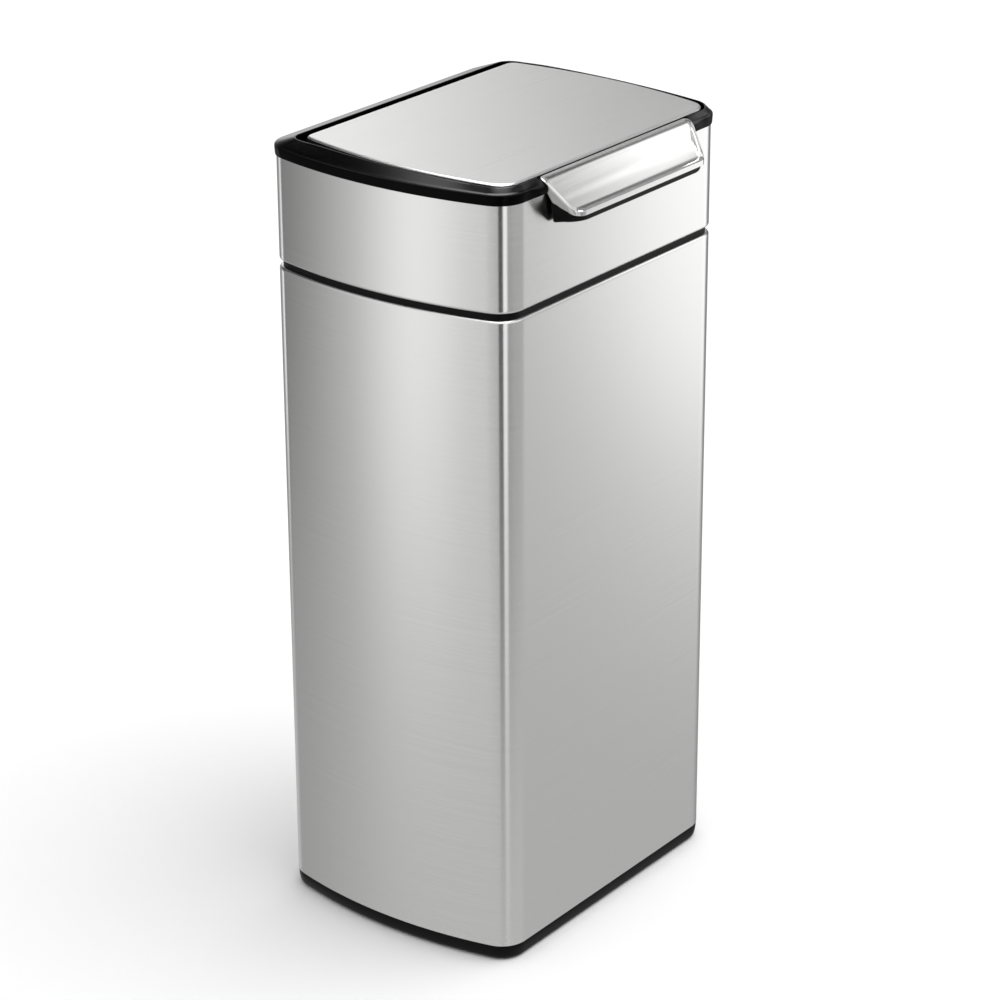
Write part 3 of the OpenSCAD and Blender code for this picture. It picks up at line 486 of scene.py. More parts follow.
def paint_shade_by_facing(material, specular, ior):
    """Paints shade and highlight by facing: upright faces get less gloss, so they render darker
    than lying ones; each pair is (upright, lying).
    """
    tree = material.node_tree
    shape = tree.nodes.new("ShaderNodeNewGeometry")
    split = tree.nodes.new("ShaderNodeSeparateXYZ")
    tree.links.new(shape.outputs["Normal"], split.inputs[0])
    shader = tree.nodes["Principled BSDF"]
    for name, values in (("Specular IOR Level", specular), ("IOR", ior)):
        tree.links.new(mapped(tree, split.outputs["Z"], UPRIGHT_TO_LYING, values),
                       shader.inputs[name])


wall_steel = brushed_steel("wall_steel", (6.0, 6.0, 2600.0), 0.22, grain=0.035, aniso=0.9)
lid_steel = brushed_steel("lid_steel", (6.0, 2600.0, 6.0), 0.30)
bar_steel = brushed_steel("bar_steel", (6.0, 2000.0, 2000.0), 0.17, grain=0.02)
satin_black = plain_finish("satin_black", (0.001, 0.001, 0.001), 0.2, specular=0.32)
matt_black = plain_finish("matt_black", (0.002, 0.002, 0.002), 0.4, specular=0.1)
# Painted shade on the bezel's upright band and painted highlight on its slope, by which way the
# faces point
paint_shade_by_facing(satin_black, (0.2, 0.34), (1.18, 1.45))
zinc_plate = plain_finish("zinc_plate", (0.55, 0.56, 0.58), 0.35, metallic=1.0)
spring_wire = plain_finish("spring_wire", (0.34, 0.34, 0.35), 0.3, metallic=1.0)
soft_rubber = plain_finish("soft_rubber", (0.03, 0.03, 0.03), 0.7)
white_nylon = plain_finish("white_nylon", (0.8, 0.79, 0.75), 0.4)

NODE_FINISHES = {
    "base_tray": matt_black, "seam_ring": matt_black, "collar_frame": matt_black,
    "bezel": satin_black, "damper_housing": matt_black, "lid_tray": matt_black,
    "bar_core": satin_black, "lid_bumpers": soft_rubber, "damper_pinion": white_nylon,
    "lid_springs": spring_wire, "bar_springs": spring_wire, "latch_spring": spring_wire,
    "body_shell": wall_steel, "collar_band": wall_steel, "lid_panel": lid_steel,
    "bar_skin": bar_steel,
}
for node_name, node_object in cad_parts.items():
    finish = NODE_FINISHES.get(node_name, zinc_plate)
    node_object.data.materials.clear()
    node_object.data.materials.append(finish)


# ---- Body and collar ----


def rolled_wall(z_plain, z_rolled):
    """Section of a steel wall whose edge at z_rolled is rolled in to a flange."""
    up = 1.0 if z_rolled > z_plain else -1.0
    zc = z_rolled - up * HEM_R
    quarter = [pi / 2 * i / 8 for i in range(9)]
    outer = [(0.0, z_plain), (0.0, z_plain + up * 0.6), (0.0, zc - up * 0.5)]
    outer += [(-HEM_R + HEM_R * cos(a), zc + up * HEM_R * sin(a)) for a in quarter]
    outer += [(-HEM_R - 0.4, z_rolled), (-HEM_W + 0.3, z_rolled), (-HEM_W, z_rolled - up * 0.3)]
    inner_r = HEM_R - SHEET_T
    inner = [(-HEM_W, z_rolled - up * SHEET_T)]
    inner += [(-HEM_R + inner_r * cos(a), zc + up * inner_r * sin(a)) for a in reversed(quarter)]
    inner += [(-SHEET_T, zc - up * 0.5), (-SHEET_T, z_plain)]
    return outer + inner


steel_body = swept_piece("steel_body", rolled_wall(BASE_H, BODY_Z1), wall_steel)
finish_mesh(steel_body.data)
settle(steel_body, "bin", wall_steel, ["body_shell"])

steel_collar = swept_piece("steel_collar", rolled_wall(COLLAR_Z1, COLLAR_Z0), wall_steel)
cut_away(steel_collar, [
    box_cutter((s * KNUCKLE_X - KNUCKLE_HALF_W, BODY_D / 2 - 12.0, COLLAR_Z0 - 1.0),
               (s * KNUCKLE_X + KNUCKLE_HALF_W, BODY_D / 2 + 1.0, COLLAR_Z0 + HEM_R + 1.0))
    for s in (-1, 1)])
finish_mesh(steel_collar.data)
settle(steel_collar, "collar", wall_steel, ["collar_band"])

# ---- Base ----

# Growth of the body's plan and height: the rounded foot, the spigot in the body, the floor
BASE_SECTION = [
    (-8.0, 0.0), (-5.4, 0.0), (-5.0, 0.12), (-3.9, 0.6), (-2.6, 1.6), (-1.7, 3.0), (-1.1, 5.0),
    (-0.6, 8.0), (-0.3, 10.2), (-0.3, 14.0), (-0.45, BASE_H), (-1.1, BASE_H), (-1.1, 31.8),
    (-1.6, 32.3), (-3.6, 32.3), (-4.1, 31.8), (-4.1, 9.2), (-8.0, 8.4), (-8.4, 8.0),
    (-8.4, 3.4), (-9.0, 3.0), (-12.0, 3.0)]
black_base = loft_piece("black_base", [level(body_plan(grow), z) for grow, z in BASE_SECTION])
finish_mesh(black_base.data)
settle(black_base, "bin", matt_black, ["base_tray"])

# ---- Bezel ----

CHEEK_X, CHEEK_BLEND = 119.0, 15.0
BACK_SINK, BACK_SINK_Y, BACK_SINK_RUN = 0.8, 55.0, 38.0
SLOPE_RINGS, SLOPE_CROWN, BAR_GAP = 6, 0.05, 1.1
BEZEL_OUT, BEZEL_IN, BEZEL_DEPTH = -3.8, -5.9, 10.7
# Growth and height over the collar, then y and height over the collar of the cheeks
BAND_SECTION = [
    (0.5, 0.0, -121.0, 0.0), (0.95, 0.35, -121.9, 0.35), (1.15, 1.4, -122.6, 1.5),
    (1.5, 6.6, -123.9, 5.0), (1.48, 7.5, -123.7, 6.3), (1.3, 8.3, -123.2, 7.6),
    (0.9, 8.95, -122.4, 8.8), (0.35, 9.35, -121.3, 9.9), (-0.3, 9.6, -119.9, 11.0)]
# Growth of the opening's plan and height over the plane of the lid
LIP_SECTION = [(1.3, -0.05), (0.8, 0.08), (0.35, 0.02), (0.08, -0.22), (0.0, -0.6), (0.0, -2.2),
               (0.5, -2.8)]


def bar_half(z):
    """Half width of the touch bar at z: it narrows towards its foot."""
    return BAR_TOP_W / 2 - (BAR_TOP_W - BAR_LOW_W) / 2 * (BAR_TOP_Z - z) / BAR_H


def cheek(ring, y, dz):
    """Swells a ring of the bezel forwards beside the touch bar, to y and dz over the collar."""
    result = []
    for px, py, pz in ring:
        w = smooth((CHEEK_X - abs(px)) / CHEEK_BLEND) if py < -100.0 else 0.0
        result.append((px, py + (y - py) * w, pz + (COLLAR_Z1 + dz - pz) * w))
    return result


def band_ring(grow, dz, cheek_y, cheek_dz):
    """A ring of the bezel's upright band, with its cheeks."""
    return cheek(level(body_plan(grow), COLLAR_Z1 + dz), cheek_y, cheek_dz)


def lip_ring(grow, dz):
    """A ring at the opening's edge, a little lower along the back."""
    return [(x, y, z - LIP_DROP - BACK_SINK * smooth((y - BACK_SINK_Y) / BACK_SINK_RUN))
            for x, y, z in sloped(opening_plan(grow), dz)]


def slope_rings(outer_ring, inner_ring):
    """Rings of the bezel's slightly crowned slope between two rings."""
    rings = []
    for n in range(1, SLOPE_RINGS + 1):
        t = n / (SLOPE_RINGS + 1)
        rings.append([tuple(a + (b - a) * t + (SLOPE_CROWN * sin(pi * t) if axis == 2 else 0.0)
                            for axis, (a, b) in enumerate(zip(p, q)))
                      for p, q in zip(outer_ring, inner_ring)])
    return rings


band_rings = [band_ring(*row) for row in BAND_SECTION]
lip_rings = [lip_ring(*row) for row in LIP_SECTION]
black_bezel = closed_loft("black_bezel", [
    level(body_plan(BEZEL_IN), COLLAR_Z1 - BEZEL_DEPTH),
    level(body_plan(BEZEL_OUT), COLLAR_Z1 - BEZEL_DEPTH), level(body_plan(BEZEL_OUT), COLLAR_Z1),
    *band_rings, *slope_rings(band_rings[-1], lip_rings[0]), *lip_rings,
    level(body_plan(BEZEL_IN), BAND_Z1 - BEZEL_T - 1.0)])
finish_mesh(black_bezel.data)


def bar_room():
    """Cutter for the touch bar's place, narrowing downwards as the bar does."""
    rows = [(SILL_Z, bar_half(SILL_Z) + BAR_GAP), (BAR_TOP_Z, bar_half(BAR_TOP_Z) + BAR_GAP),
            (LID_Z + 20, bar_half(BAR_TOP_Z) + BAR_GAP)]
    outline = [(x, z) for z, x in rows] + [(-x, z) for z, x in reversed(rows)]
    count = len(outline)
    points = [(x, y, z) for y in (FRONT_Y - 10, LID_FRONT_Y + 6) for x, z in outline]
    faces = [tuple(range(count)), tuple(range(2 * count - 1, count - 1, -1))]
    faces += [(i, i + count, (i + 1) % count + count, (i + 1) % count) for i in range(count)]
    cutter = add_object("cutter", mesh_from("cutter", points, faces))
    finish_mesh(cutter.data)
    return cutter


# The places cut for the bar and for the frame's blocks on both sides of it
CUT_X = BAR_TOP_W / 2 + 1.2
CUT_Y, CUT_Z = FRONT_Y + 3.3, COLLAR_Z1 - 12
BLOCK_X0, BLOCK_X1, BLOCK_BACK_Y = 115.0, 129.0, FRONT_Y + 24
cutters = [bar_room(),
           box_cutter((-CUT_X, CUT_Y, CUT_Z), (CUT_X, LID_FRONT_Y + 6, SILL_Z + 1))]
for s in (-1, 1):
    x0, x1 = sorted((s * BLOCK_X0, s * BLOCK_X1))
    cutters.append(box_cutter((x0, CUT_Y, CUT_Z), (x1, BLOCK_BACK_Y, COLLAR_Z1)))
cut_away(black_bezel, cutters)
finish_mesh(black_bezel.data)
settle(black_bezel, "collar", satin_black, ["bezel"])

# ---- Lid ----


def lid_ring(grow, rise):
    """A ring of the lid, square to its sloping plane and that far above it."""
    a = radians(LID_TILT)
    return [(x, LID_CY + y * cos(a) - rise * sin(a), LID_Z + y * sin(a) + rise * cos(a))
            for x, y in lid_plan(grow)]


# The panel's edge: a tight bend, then a narrow sloping facet
EDGE_START, BEND_R, FACET_R, BEND_A, FACET_A = -3.0, 2.2, 8.0, 42.0, 49.0
bend_s, bend_c = sin(radians(BEND_A)), cos(radians(BEND_A))
fold = [lid_ring(EDGE_START + BEND_R * sin(radians(a)), -BEND_R * (1 - cos(radians(a))))
        for a in (0, 5, 10, 15, 20, 25, 30, 36)]
fold += [lid_ring(EDGE_START + BEND_R * bend_s + FACET_R * (sin(radians(a)) - bend_s),
                  -BEND_R * (1 - bend_c) - FACET_R * (bend_c - cos(radians(a))))
         for a in (BEND_A, 45.0, FACET_A)]
LID_UNDERSIDE = [(-0.95, -1.6), (-1.8, -1.55), (-3.4, -0.85), (-8.0, -0.8)]
steel_lid = loft_piece("steel_lid", [lid_ring(-8.0, 0.0), lid_ring(-3.6, 0.0), *fold,
                                     *[lid_ring(*row) for row in LID_UNDERSIDE]])
finish_mesh(steel_lid.data)
settle(steel_lid, "lid", lid_steel, ["lid_panel"])

# The black band under the panel stands where the steel fold would be in shade: painted shade in
# the gap; growth of the lid's plan and height, round the section
EDGE_SECTION = [
    (-3.2, -1.4), (-1.2, -1.5), (-1.1, -1.9), (-0.3, -3.2), (0.0, -LID_FOLD + 0.5),
    (-0.3, -LID_FOLD), (-1.4, -LID_FOLD), (-2.4, -3.0)]
shade_band_under_lid = closed_loft("painted_shade_under_lid", [lid_ring(*row) for row in EDGE_SECTION])
finish_mesh(shade_band_under_lid.data)
# Matt black here is painted shade, not a part of its own
settle(shade_band_under_lid, "lid", matt_black)

# ---- Touch bar ----

CREST_BACK_Y, CREST_FRONT_Y = BAR_TOP_Y - 0.6, BAR_FACE_Y + 2.8
TOP_CORNER_R, FOOT_CORNER_R = 5.0, 8.0
LIP_Z, BACK_Z = BAR_LOW_Z - 1.5, BAR_TOP_Z - 2.6
# The dished field: width of the rims, its corners in plan, their slope, and its crown
RIM_W, RIM_ROUND = 1.4, 0.3
FIELD_CORNER, FIELD_CORNER_RATIO, FIELD_SLOPE, FIELD_END_BLEND = 12.0, 1.66, 3.2, 8.0
FIELD_CROWN, CROWN_HALF_W = 1.1, 90.0
# Fineness of the skin, and how its edge rolls over: share of the reach and of the drop
SKIN_COLUMNS, SKIN_ROWS, BACK_ROWS, FOOT_ROWS, END_CLOSENESS = 190, 56, 8, 16, 1.6
ROLL_STEPS = [(0.28, 0.06), (0.62, 0.28), (0.88, 0.62), (1.0, 1.0), (1.0, 1.2)]
WALL_STEPS, WALL_TUCK = (0.33, 0.66, 0.97, 1.0), 0.25
# How far the edge rolls out and down: at the lip, at the back, and at the ends past the strip
LIP_REACH, LIP_ROLL, BACK_ROLL, END_ROLL = 2.7, 0.9, 0.6, 1.0
END_REACH_MORE, END_ROLL_MORE = 0.4, 0.6
STRIP_W, STRIP_BLEND = 3.5, 8.0


def slope_line(bends, step=0.1):
    """Points (y, z) from the bar's back edge, by its slope in degrees at lengths along it."""
    y, z, run = BAR_TOP_Y, BAR_TOP_Z, 0.0
    line = [(y, z)]
    for (from_s, from_a), (to_s, to_a) in zip(bends, bends[1:]):
        while run < to_s:
            t = (run + step / 2 - from_s) / (to_s - from_s)
            a = radians(from_a + (to_a - from_a) * smooth(t))
            y, z, run = y - cos(a) * step, z - sin(a) * step, run + step
            line.append((y, z))
    return line


def height_at(line, y):
    """Height at y of a line that runs forwards."""
    for (ya, za), (yb, zb) in zip(line, line[1:]):
        if y >= yb:
            return za + (zb - za) * (ya - y) / (ya - yb)
    return line[-1][1]


# Slopes of the rims and of the dished field, from the strip along the lid down to the bead
RIM_LINE = slope_line([(0, 8), (1.2, 9), (11, 50), (36.8, 50), (38.2, 5), (43.2, 5)])
FIELD_LINE = slope_line([(0, 8), (1.2, 9), (11, 60.5), (14, 59), (34.6, 43), (38.2, 26),
                         (43.2, 0)])


def rim_top(y):
    """Height of the bar's rims at y."""
    return height_at(RIM_LINE, y)


def field_top(y):
    """Height of the pressed field at y: steep under the top strip, flatter towards its foot."""
    return height_at(FIELD_LINE, y)


def field_mask(x, y, half):
    """How far a point lies inside the field: 0 on the rims, 1 in the field."""
    q_x = abs(x) - (half - RIM_ROUND - FIELD_CORNER)
    q_y = (CREST_FRONT_Y + 0.1 - y) * FIELD_CORNER_RATIO + FIELD_CORNER
    if q_x > 0 and q_y > 0:
        inside = FIELD_CORNER - hypot(q_x, q_y)
    else:
        inside = FIELD_CORNER - max(q_x, q_y)
    t = max(0.0, min(1.0, inside / FIELD_SLOPE))
    along = smooth(1.0 - q_x / FIELD_END_BLEND)
    return t * t + (smooth(t) - t * t) * along


def past_strip(y):
    """0 beside the strip along the lid, 1 from a little in front of it."""
    return smooth((BAR_TOP_Y - STRIP_W - y) / STRIP_BLEND)


def crest_half(y):
    """Half width of the bar's upper face at y, with rounded corners."""
    half = bar_half(rim_top(y)) - END_ROLL - END_REACH_MORE * past_strip(y)
    back = TOP_CORNER_R - (CREST_BACK_Y - y)
    if back > 0:
        half -= TOP_CORNER_R - sqrt(max(0.0, TOP_CORNER_R**2 - back**2))
    front = FOOT_CORNER_R - (y - CREST_FRONT_Y)
    if front > 0:
        half -= FOOT_CORNER_R - sqrt(max(0.0, FOOT_CORNER_R**2 - front**2))
    return half


# The lower edge of the end walls: points (y, z) from the back to the lip
SIDE_FOOT = [(-116.0, 671.5), (-119.0, 668.0), (-122.4, 663.4), (-126.3, 658.9),
             (-131.6, 653.9), (-135.0, 651.6), (-138.6, 649.6), (-142.4, 647.9), (-147.6, LIP_Z)]


def side_foot(y):
    """Height of the lower edge of the bar's end walls at y."""
    for (ya, za), (yb, zb) in zip(SIDE_FOOT, SIDE_FOOT[1:]):
        if y >= yb:
            return za + (zb - za) * min(1.0, max(0.0, (ya - y) / (ya - yb)))
    return LIP_Z


def skin_rows():
    """The y of the skin's rows, closer together where its corners are round."""
    rows = [CREST_BACK_Y - TOP_CORNER_R * (1 - cos(pi / 2 * i / BACK_ROWS))
            for i in range(BACK_ROWS + 1)]
    last = rows[-1]
    middle = CREST_FRONT_Y + FOOT_CORNER_R
    rows += [last + (middle - last) * i / SKIN_ROWS for i in range(1, SKIN_ROWS + 1)]
    rows += [CREST_FRONT_Y + FOOT_CORNER_R * (1 - sin(pi / 2 * i / FOOT_ROWS))
             for i in range(1, FOOT_ROWS + 1)]
    return rows


def skin_row(y):
    """One row of points across the skin's upper face, closer together at its ends."""
    half, rim, field = crest_half(y), rim_top(y), field_top(y)
    down = (BAR_TOP_Y - y) / (BAR_TOP_Y - CREST_FRONT_Y)
    lift = sin(pi * max(0.0, min(1.0, down)))
    row = []
    for i in range(SKIN_COLUMNS + 1):
        u = -1 + 2 * i / SKIN_COLUMNS
        x = (1 if u > 0 else -1) * (1 - (1 - abs(u)) ** END_CLOSENESS) * half
        crown = FIELD_CROWN * (0.5 - (x / CROWN_HALF_W) ** 2) * lift
        row.append((x, y, rim + field_mask(x, y, bar_half(rim) - RIM_W) * (field - rim + crown)))
    return row


def edge_loop(row_count):
    """Indices of the points round the skin's upper face."""
    wide, top, end = SKIN_COLUMNS + 1, row_count - 1, SKIN_COLUMNS
    return [*range(wide), *[j * wide + end for j in range(1, row_count)],
            *[top * wide + i for i in range(end - 1, -1, -1)],
            *[j * wide for j in range(top - 1, 0, -1)]]


def wall_points(point, before, after):
    """The rolled edge and the wall under one point of the upper face's outline."""
    x, y, z = point
    way = Vector((after[0] - before[0], after[1] - before[1]))
    out = Vector((-way.y, way.x)).normalized()
    if out.dot(Vector((x, y - (CREST_BACK_Y + CREST_FRONT_Y) / 2))) < 0:
        out = -out
    sideways, lengthways, at_lip = out.x**2, out.y**2, out.y < 0
    past = past_strip(y)
    reach = (sideways * (END_ROLL + END_REACH_MORE * past)
             + lengthways * (LIP_REACH if at_lip else BACK_ROLL))
    drop = (sideways * (END_ROLL + END_ROLL_MORE * past)
            + lengthways * (LIP_ROLL if at_lip else BACK_ROLL))
    column = [(x + out.x * reach * a, y + out.y * reach * a, z - drop * b)
              for a, b in ROLL_STEPS]
    ex, ey, ez = column[-1]
    foot = sideways * side_foot(ey) + lengthways * (LIP_Z if at_lip else BACK_Z)
    foot = min(foot, ez - 0.4)
    lean = sideways * (BAR_TOP_W - BAR_LOW_W) / 2 / BAR_H
    for t in WALL_STEPS:
        tuck = WALL_TUCK if t == 1.0 else 0.0
        fz = ez + (foot - ez) * t
        fx = ex - (1 if ex > 0 else -1) * (ez - fz) * lean
        column.append((fx - out.x * tuck, ey - out.y * tuck, fz))
    return column


def bar_skin_mesh():
    """The steel skin: a strip, a dished field in its rims, a lip and two end walls."""
    rows = skin_rows()
    points = [p for y in rows for p in skin_row(y)]
    wide = SKIN_COLUMNS + 1
    faces = []
    for j in range(len(rows) - 1):
        for i in range(SKIN_COLUMNS):
            a = j * wide + i
            faces.append((a, a + wide, a + wide + 1, a + 1))
    loop = edge_loop(len(rows))
    count = len(loop)
    columns = [wall_points(points[index], points[loop[k - 1]], points[loop[(k + 1) % count]])
               for k, index in enumerate(loop)]
    rings = [loop]
    for ring in zip(*columns):
        rings.append(range(len(points), len(points) + count))
        points += ring
    for inner, outer in zip(rings, rings[1:]):
        for k in range(count):
            n = (k + 1) % count
            faces.append((inner[k], outer[k], outer[n], inner[n]))
    return mesh_from("steel_bar", points, faces)


steel_bar = add_object("steel_bar", bar_skin_mesh())
bm = bmesh.new()
bm.from_mesh(steel_bar.data)
bmesh.ops.recalc_face_normals(bm, faces=bm.faces)
if sum(f.normal.z * f.calc_area() for f in bm.faces) < 0:
    bmesh.ops.reverse_faces(bm, faces=bm.faces)
bm.to_mesh(steel_bar.data)
bm.free()
thick = steel_bar.modifiers.new("sheet", "SOLIDIFY")
thick.thickness = SHEET_T * MM
thick.offset = -1.0
evaluated(steel_bar)
finish_mesh(steel_bar.data, sharp_deg=50)
settle(steel_bar, "touch_bar", bar_steel, ["bar_skin"])

CORE_BACK_Y, CORE_BACK_R = -122.4, 1.2
UNDERSIDE_Y, UNDERSIDE_Z, UNDERSIDE_SLOPE = -142.0, 640.1, 0.125
# The core's underside: front y, lift, half widths in front and behind, corner and back y
CORE_UNDERSIDE = [
    (-142.2, 0.0, 84.0, 86.5, 14.0, -124.5), (-144.2, 0.05, 85.4, 88.2, 14.0, -123.2),
    (-145.3, 0.5, 86.0, 89.0, 13.0, -122.6), (-145.85, 1.3, 86.4, 89.4, 12.0, CORE_BACK_Y),
    (-146.0, 2.4, 86.6, 89.7, 11.0, CORE_BACK_Y)]
# Its levels up to the skin: height, front y, half widths in front and behind, and corner
CORE_LEVELS = [
    (645.6, -146.0, 86.6, 90.4, 9.0), (646.2, -144.6, 86.4, 90.6, 8.5),
    (648.0, -141.4, 86.6, 91.0, 8.0), (650.6, -138.6, 87.4, 91.4, 7.0),
    (653.0, -136.2, 88.6, 91.7, 6.0), (659.5, -130.7, 91.4, 92.4, 5.0),
    (665.0, -126.6, 94.0, 94.6, 3.0)]


def core_outline(front_y, front_half, back_half, corner, back_y=CORE_BACK_Y):
    """Plan of the bar's black core at one level, with well rounded front corners."""
    right = arc_points(front_half - corner, front_y + corner, corner, -pi / 2, 0, 14)
    right += arc_points(back_half - CORE_BACK_R, back_y - CORE_BACK_R, CORE_BACK_R, 0, pi / 2, 5)
    return right + [(-x, y) for x, y in reversed(right)]


def underside_ring(front_y, lift, *rest):
    """A ring of the core's underside, which rises forwards."""
    return [(x, y, UNDERSIDE_Z - UNDERSIDE_SLOPE * (y - UNDERSIDE_Y) + lift)
            for x, y in core_outline(front_y, *rest)]


core_rings = [underside_ring(*row) for row in CORE_UNDERSIDE]
core_rings += [level(core_outline(*rest), z) for z, *rest in CORE_LEVELS]
bar_core = loft_piece("black_bar_core", core_rings)

# The arms, the bridge between them and the latch finger with its toe
PIVOT_Y, PIVOT_Z, ARM_X, ARM_T, BOSS_R = FRONT_Y + 12.5, COLLAR_Z1 - 18.7, 68.0, 5.0, 4.8
BRIDGE_Z0, BRIDGE_Z1, BRIDGE_BACK_Y = SILL_Z + 1.9, LID_FRONT_Z - 7.3, PIVOT_Y + 4.5
FINGER_HALF_W, FINGER_Y, FINGER_Z = 5, PIVOT_Y + 2, PIVOT_Z - 14.5
blocks = [((-ARM_X - ARM_T - 1, -124.6, BRIDGE_Z0), (ARM_X + ARM_T + 1, BRIDGE_BACK_Y, BRIDGE_Z1)),
          ((-FINGER_HALF_W, FINGER_Y, FINGER_Z), (FINGER_HALF_W, FINGER_Y + 3, BRIDGE_Z1 - 0.5)),
          ((-FINGER_HALF_W, FINGER_Y, FINGER_Z), (FINGER_HALF_W, FRONT_Y + 27.0, FINGER_Z + 4))]
for s in (-1, 1):
    x0, x1 = sorted((s * ARM_X, s * (ARM_X + ARM_T)))
    blocks.append(((x0, PIVOT_Y - 4.5, PIVOT_Z), (x1, BRIDGE_BACK_Y, BRIDGE_Z1 - 0.5)))
bm = bmesh.new()
bm.from_mesh(bar_core.data)
for low, high in blocks:
    edges = list(dict.fromkeys(e for v in add_box(bm, low, high) for e in v.link_edges))
    bmesh.ops.bevel(bm, geom=edges, offset=0.5 * MM, segments=2, profile=0.6, affect="EDGES")
for s in (-1, 1):
    add_boss(bm, s * ARM_X, s * (ARM_X + ARM_T), PIVOT_Y, PIVOT_Z, BOSS_R)
bm.to_mesh(bar_core.data)
bm.free()
finish_mesh(bar_core.data)
settle(bar_core, "touch_bar", matt_black, ["bar_core"])

# ---- Floor, light and camera ----

FLOOR_SIZE = 40.0
bm = bmesh.new()
bmesh.ops.create_grid(bm, x_segments=1, y_segments=1, size=FLOOR_SIZE / 2)
studio_floor = add_object("studio_floor", mesh_of(bm, "studio_floor"))
floor_finish, floor_shader, _ = new_material("studio_floor")
floor_shader.inputs["Base Color"].default_value = (0.9, 0.9, 0.9, 1.0)
floor_shader.inputs["Roughness"].default_value = 0.6
floor_shader.inputs["Specular IOR Level"].default_value = 0.2
studio_floor.data.materials.append(floor_finish)
studio_floor.visible_glossy = False

world = bpy.data.worlds.new("studio")
bpy.context.scene.world = world
world.use_nodes = True
background = world.node_tree.nodes["Background"]
background.inputs["Color"].default_value = (1.0, 1.0, 1.0, 1.0)
background.inputs["Strength"].default_value = 0.75

sun_data = bpy.data.lights.new("overhead_light", "SUN")
sun_data.energy = 1.6
sun_data.angle = radians(50)
sun = bpy.data.objects.new("overhead_light", sun_data)
bpy.context.scene.collection.objects.link(sun)
sun.rotation_euler = Vector((-0.25, 0.3, -1.0)).to_track_quat("-Z", "Y").to_euler()
sun.visible_glossy = False

TENT_R, TENT_Z, TENT_GLOW = 1.8, 0.66, 9.0
# Brightness of the softbox tent: rows of (elevation, [(azimuth, brightness), ...]) in degrees
TENT = [
    (-41, [(-180, 0.66), (-125, 0.7), (-60, 0.68), (-44, 0.6), (-36, 0.6), (-25, 0.5), (-15, 0.4),
           (30, 0.3), (60, 0.5), (85, 0.7), (104, 0.5), (112, 0.45), (130, 0.55), (150, 0.62),
           (170, 0.66), (180, 0.66)]),
    (-31, [(-180, 0.76), (-160, 0.7), (-146, 0.62), (-142, 0.35), (-130, 0.35), (-127, 0.66),
           (-117, 0.66), (-112, 0.5), (-100, 0.5), (-65, 0.6), (-55, 0.66), (-44, 0.72),
           (-36, 0.86), (-26, 0.7), (-15, 0.4), (30, 0.3), (70, 0.3), (92, 0.5),
           (105, 0.4), (112, 0.42), (137, 0.6), (150, 0.8), (160, 0.82), (180, 0.76)]),
    (-24, [(-180, 0.8), (-160, 0.68), (-146, 0.6), (-142, 0.0), (-130, 0.0), (-127, 1.45),
           (-117, 1.4), (-112, 0.32), (-106, 0.34), (-90, 0.46), (-50, 0.55), (-44, 0.7),
           (-41, 0.92), (-36, 1.6), (-20, 1.5), (-14, 0.35), (45, 0.2), (76, 0.3), (90, 0.6),
           (95, 1.5), (101, 1.5), (106, 0.2), (112, 0.26), (124, 0.45), (137, 0.72), (143, 0.95),
           (150, 1.22), (156, 1.34), (163, 1.25), (170, 0.98), (180, 0.8)]),
    (5, [(-180, 0.8), (-160, 0.7), (-146, 0.6), (-142, 0.0), (-130, 0.0), (-127, 1.2),
         (-117, 1.2), (-110, 0.7), (-52, 0.6), (-44, 0.5), (-41, 0.9), (-37, 1.7), (-20, 1.3),
         (-12, 0.5), (-4, 0.1), (14, 0.1), (20, 0.4), (25, 0.51), (31, 0.52), (37, 0.75),
         (45, 1.25), (56, 1.2), (66, 0.4), (104, 0.2), (124, 0.4), (143, 0.8), (156, 1.1),
         (180, 0.8)]),
    (16, [(-180, 1.0), (-125, 1.4), (-53, 1.4), (-49, 0.36), (-44, 0.36), (-41, 0.75),
          (-38.5, 2.0), (-26, 2.0), (-15, 0.8), (-4, 0.25), (10, 0.25), (20, 0.45), (25, 0.51),
          (31, 0.52), (37, 0.75), (45, 1.25), (56, 1.1), (66, 0.3), (104, 0.1), (112, 0.2),
          (128, 0.7), (150, 1.2), (180, 0.9)]),
    (26, [(-180, 1.0), (-125, 1.4), (-52, 1.4), (-46, 0.42), (-38, 0.58), (-35, 1.1),
          (-32, 2.0), (-26, 2.0), (-15, 1.0), (10, 0.56), (25, 0.51), (31, 0.52), (37, 0.75),
          (45, 1.25), (52, 1.1), (60, 0.2), (104, 0.05), (112, 0.2), (128, 0.8), (150, 1.3),
          (180, 0.9)]),
    (36, [(-180, 0.9), (-130, 1.3), (-50, 1.3), (-40, 0.45), (-29, 0.54), (-25.5, 0.9),
          (-23, 1.6), (-20, 0.9), (-15, 0.35), (0, 0.25), (10, 0.5), (20, 0.62), (26, 0.7),
          (30, 1.3), (45, 1.3), (52, 0.7), (60, 0.05), (104, 0.03), (112, 0.2), (128, 0.8),
          (150, 1.3), (180, 0.9)]),
    (42.5, [(-180, 0.7), (-130, 1.2), (-60, 1.2), (-40, 0.2), (-5, 0.14), (40, 0.1), (60, 0.01),
            (108, 0.01), (128, 0.7), (150, 1.2), (180, 0.7)]),
    (54, [(-180, 0.3), (-130, 0.6), (-60, 0.4), (-30, 0.1), (60, 0.02), (110, 0.02), (150, 0.6),
          (180, 0.3)]),
    (62, [(-180, 4.0), (180, 4.0)]),
    (74, [(-180, 9.0), (180, 9.0)]),
]


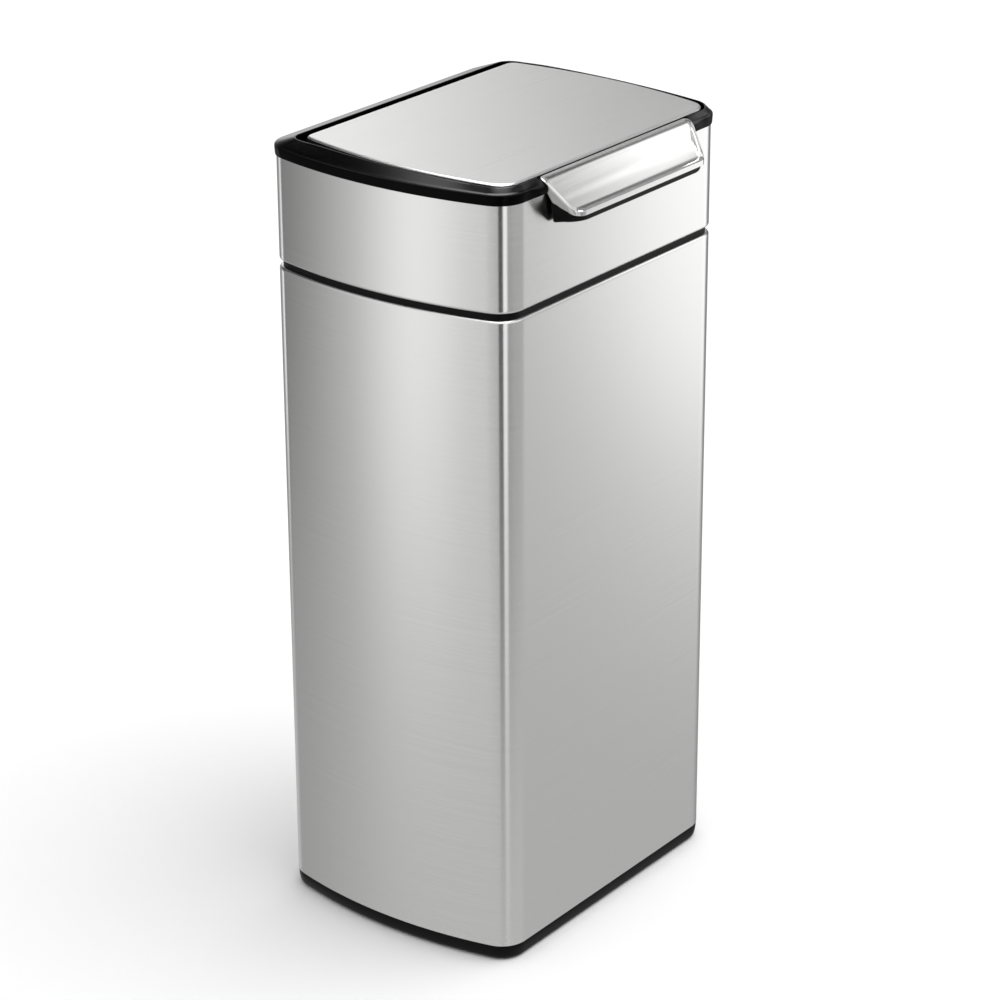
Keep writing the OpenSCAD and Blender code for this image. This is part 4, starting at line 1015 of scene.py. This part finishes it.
def tent_finish():
    """Glow of the softbox tent, from its rows of brightness."""
    material = bpy.data.materials.new("softbox_tent")
    material.use_nodes = True
    nodes, links = material.node_tree.nodes, material.node_tree.links
    nodes.clear()
    where = nodes.new("ShaderNodeTexCoord")
    split = nodes.new("ShaderNodeSeparateXYZ")
    links.new(where.outputs["Object"], split.inputs[0])

    math = partial(math_node, material.node_tree)
    angle = math("ARCTAN2", split.outputs["Y"], split.outputs["X"])
    turn = math("ADD", math("DIVIDE", angle, 2 * pi), 0.5)
    rise = math("ARCSINE", math("DIVIDE", math("SUBTRACT", split.outputs["Z"], TENT_Z), TENT_R))
    glow = None
    for height, stops in TENT:
        ramp = nodes.new("ShaderNodeValToRGB")
        ramp.color_ramp.interpolation = "LINEAR"
        elements = ramp.color_ramp.elements
        while len(elements) > 1:
            elements.remove(elements[-1])
        for n, (azimuth, brightness) in enumerate(stops):
            spot = azimuth / 360 + 0.5
            element = elements[0] if n == 0 else elements.new(spot)
            element.position = spot
            element.color = (brightness / TENT_GLOW,) * 3 + (1.0,)
        links.new(turn, ramp.inputs["Fac"])
        if glow is None:
            glow, lower = ramp.outputs["Color"], height
            continue
        step = nodes.new("ShaderNodeMapRange")
        step.interpolation_type = "SMOOTHSTEP"
        step.inputs["From Min"].default_value = radians(lower)
        step.inputs["From Max"].default_value = radians(height)
        links.new(rise, step.inputs["Value"])
        mix = nodes.new("ShaderNodeMix")
        mix.data_type = "RGBA"
        links.new(step.outputs["Result"], mix.inputs["Factor"])
        links.new(glow, mix.inputs[6])
        links.new(ramp.outputs["Color"], mix.inputs[7])
        glow, lower = mix.outputs[2], height
    light = nodes.new("ShaderNodeEmission")
    light.inputs["Strength"].default_value = TENT_GLOW
    links.new(glow, light.inputs["Color"])
    out = nodes.new("ShaderNodeOutputMaterial")
    links.new(light.outputs[0], out.inputs["Surface"])
    material.cycles.emission_sampling = "NONE"
    return material


bm = bmesh.new()
bmesh.ops.create_uvsphere(bm, u_segments=64, v_segments=32, radius=TENT_R)
for v in bm.verts:
    v.co.z += TENT_Z
tent = add_object("softbox_tent", mesh_of(bm, "softbox_tent"))
tent.data.materials.append(tent_finish())
tent.visible_camera = False
tent.visible_diffuse = False
tent.visible_transmission = False
tent.visible_shadow = False

scene = bpy.context.scene
scene.view_settings.view_transform = "Standard"
scene.view_settings.look = "None"

# The camera that was fitted to the photo: its place, its axes and its focal length in pixels
FOCAL_PX, IMAGE_PX, SENSOR_W = 3327.01705, 1000.0, 36.0
CAMERA_PLACE = (-2.06377797, -1.57653768, 1.44663890)
RIGHT = (0.60513432, -0.79611121, -0.00440402)
DOWN = (-0.31379391, -0.23342747, -0.92035047)
FORWARD = (0.73167331, 0.55831761, -0.39106983)
lens = bpy.data.cameras.new("photo_view")
lens.sensor_width = SENSOR_W
lens.sensor_fit = "HORIZONTAL"
lens.lens = FOCAL_PX / IMAGE_PX * SENSOR_W
lens.clip_start = 0.05
lens.clip_end = 100.0
camera = bpy.data.objects.new("photo_view", lens)
scene.collection.objects.link(camera)
facing = Matrix((RIGHT, tuple(-c for c in DOWN), tuple(-c for c in FORWARD))).transposed()
camera.matrix_world = Matrix.Translation(CAMERA_PLACE) @ facing.to_4x4()
scene.camera = camera
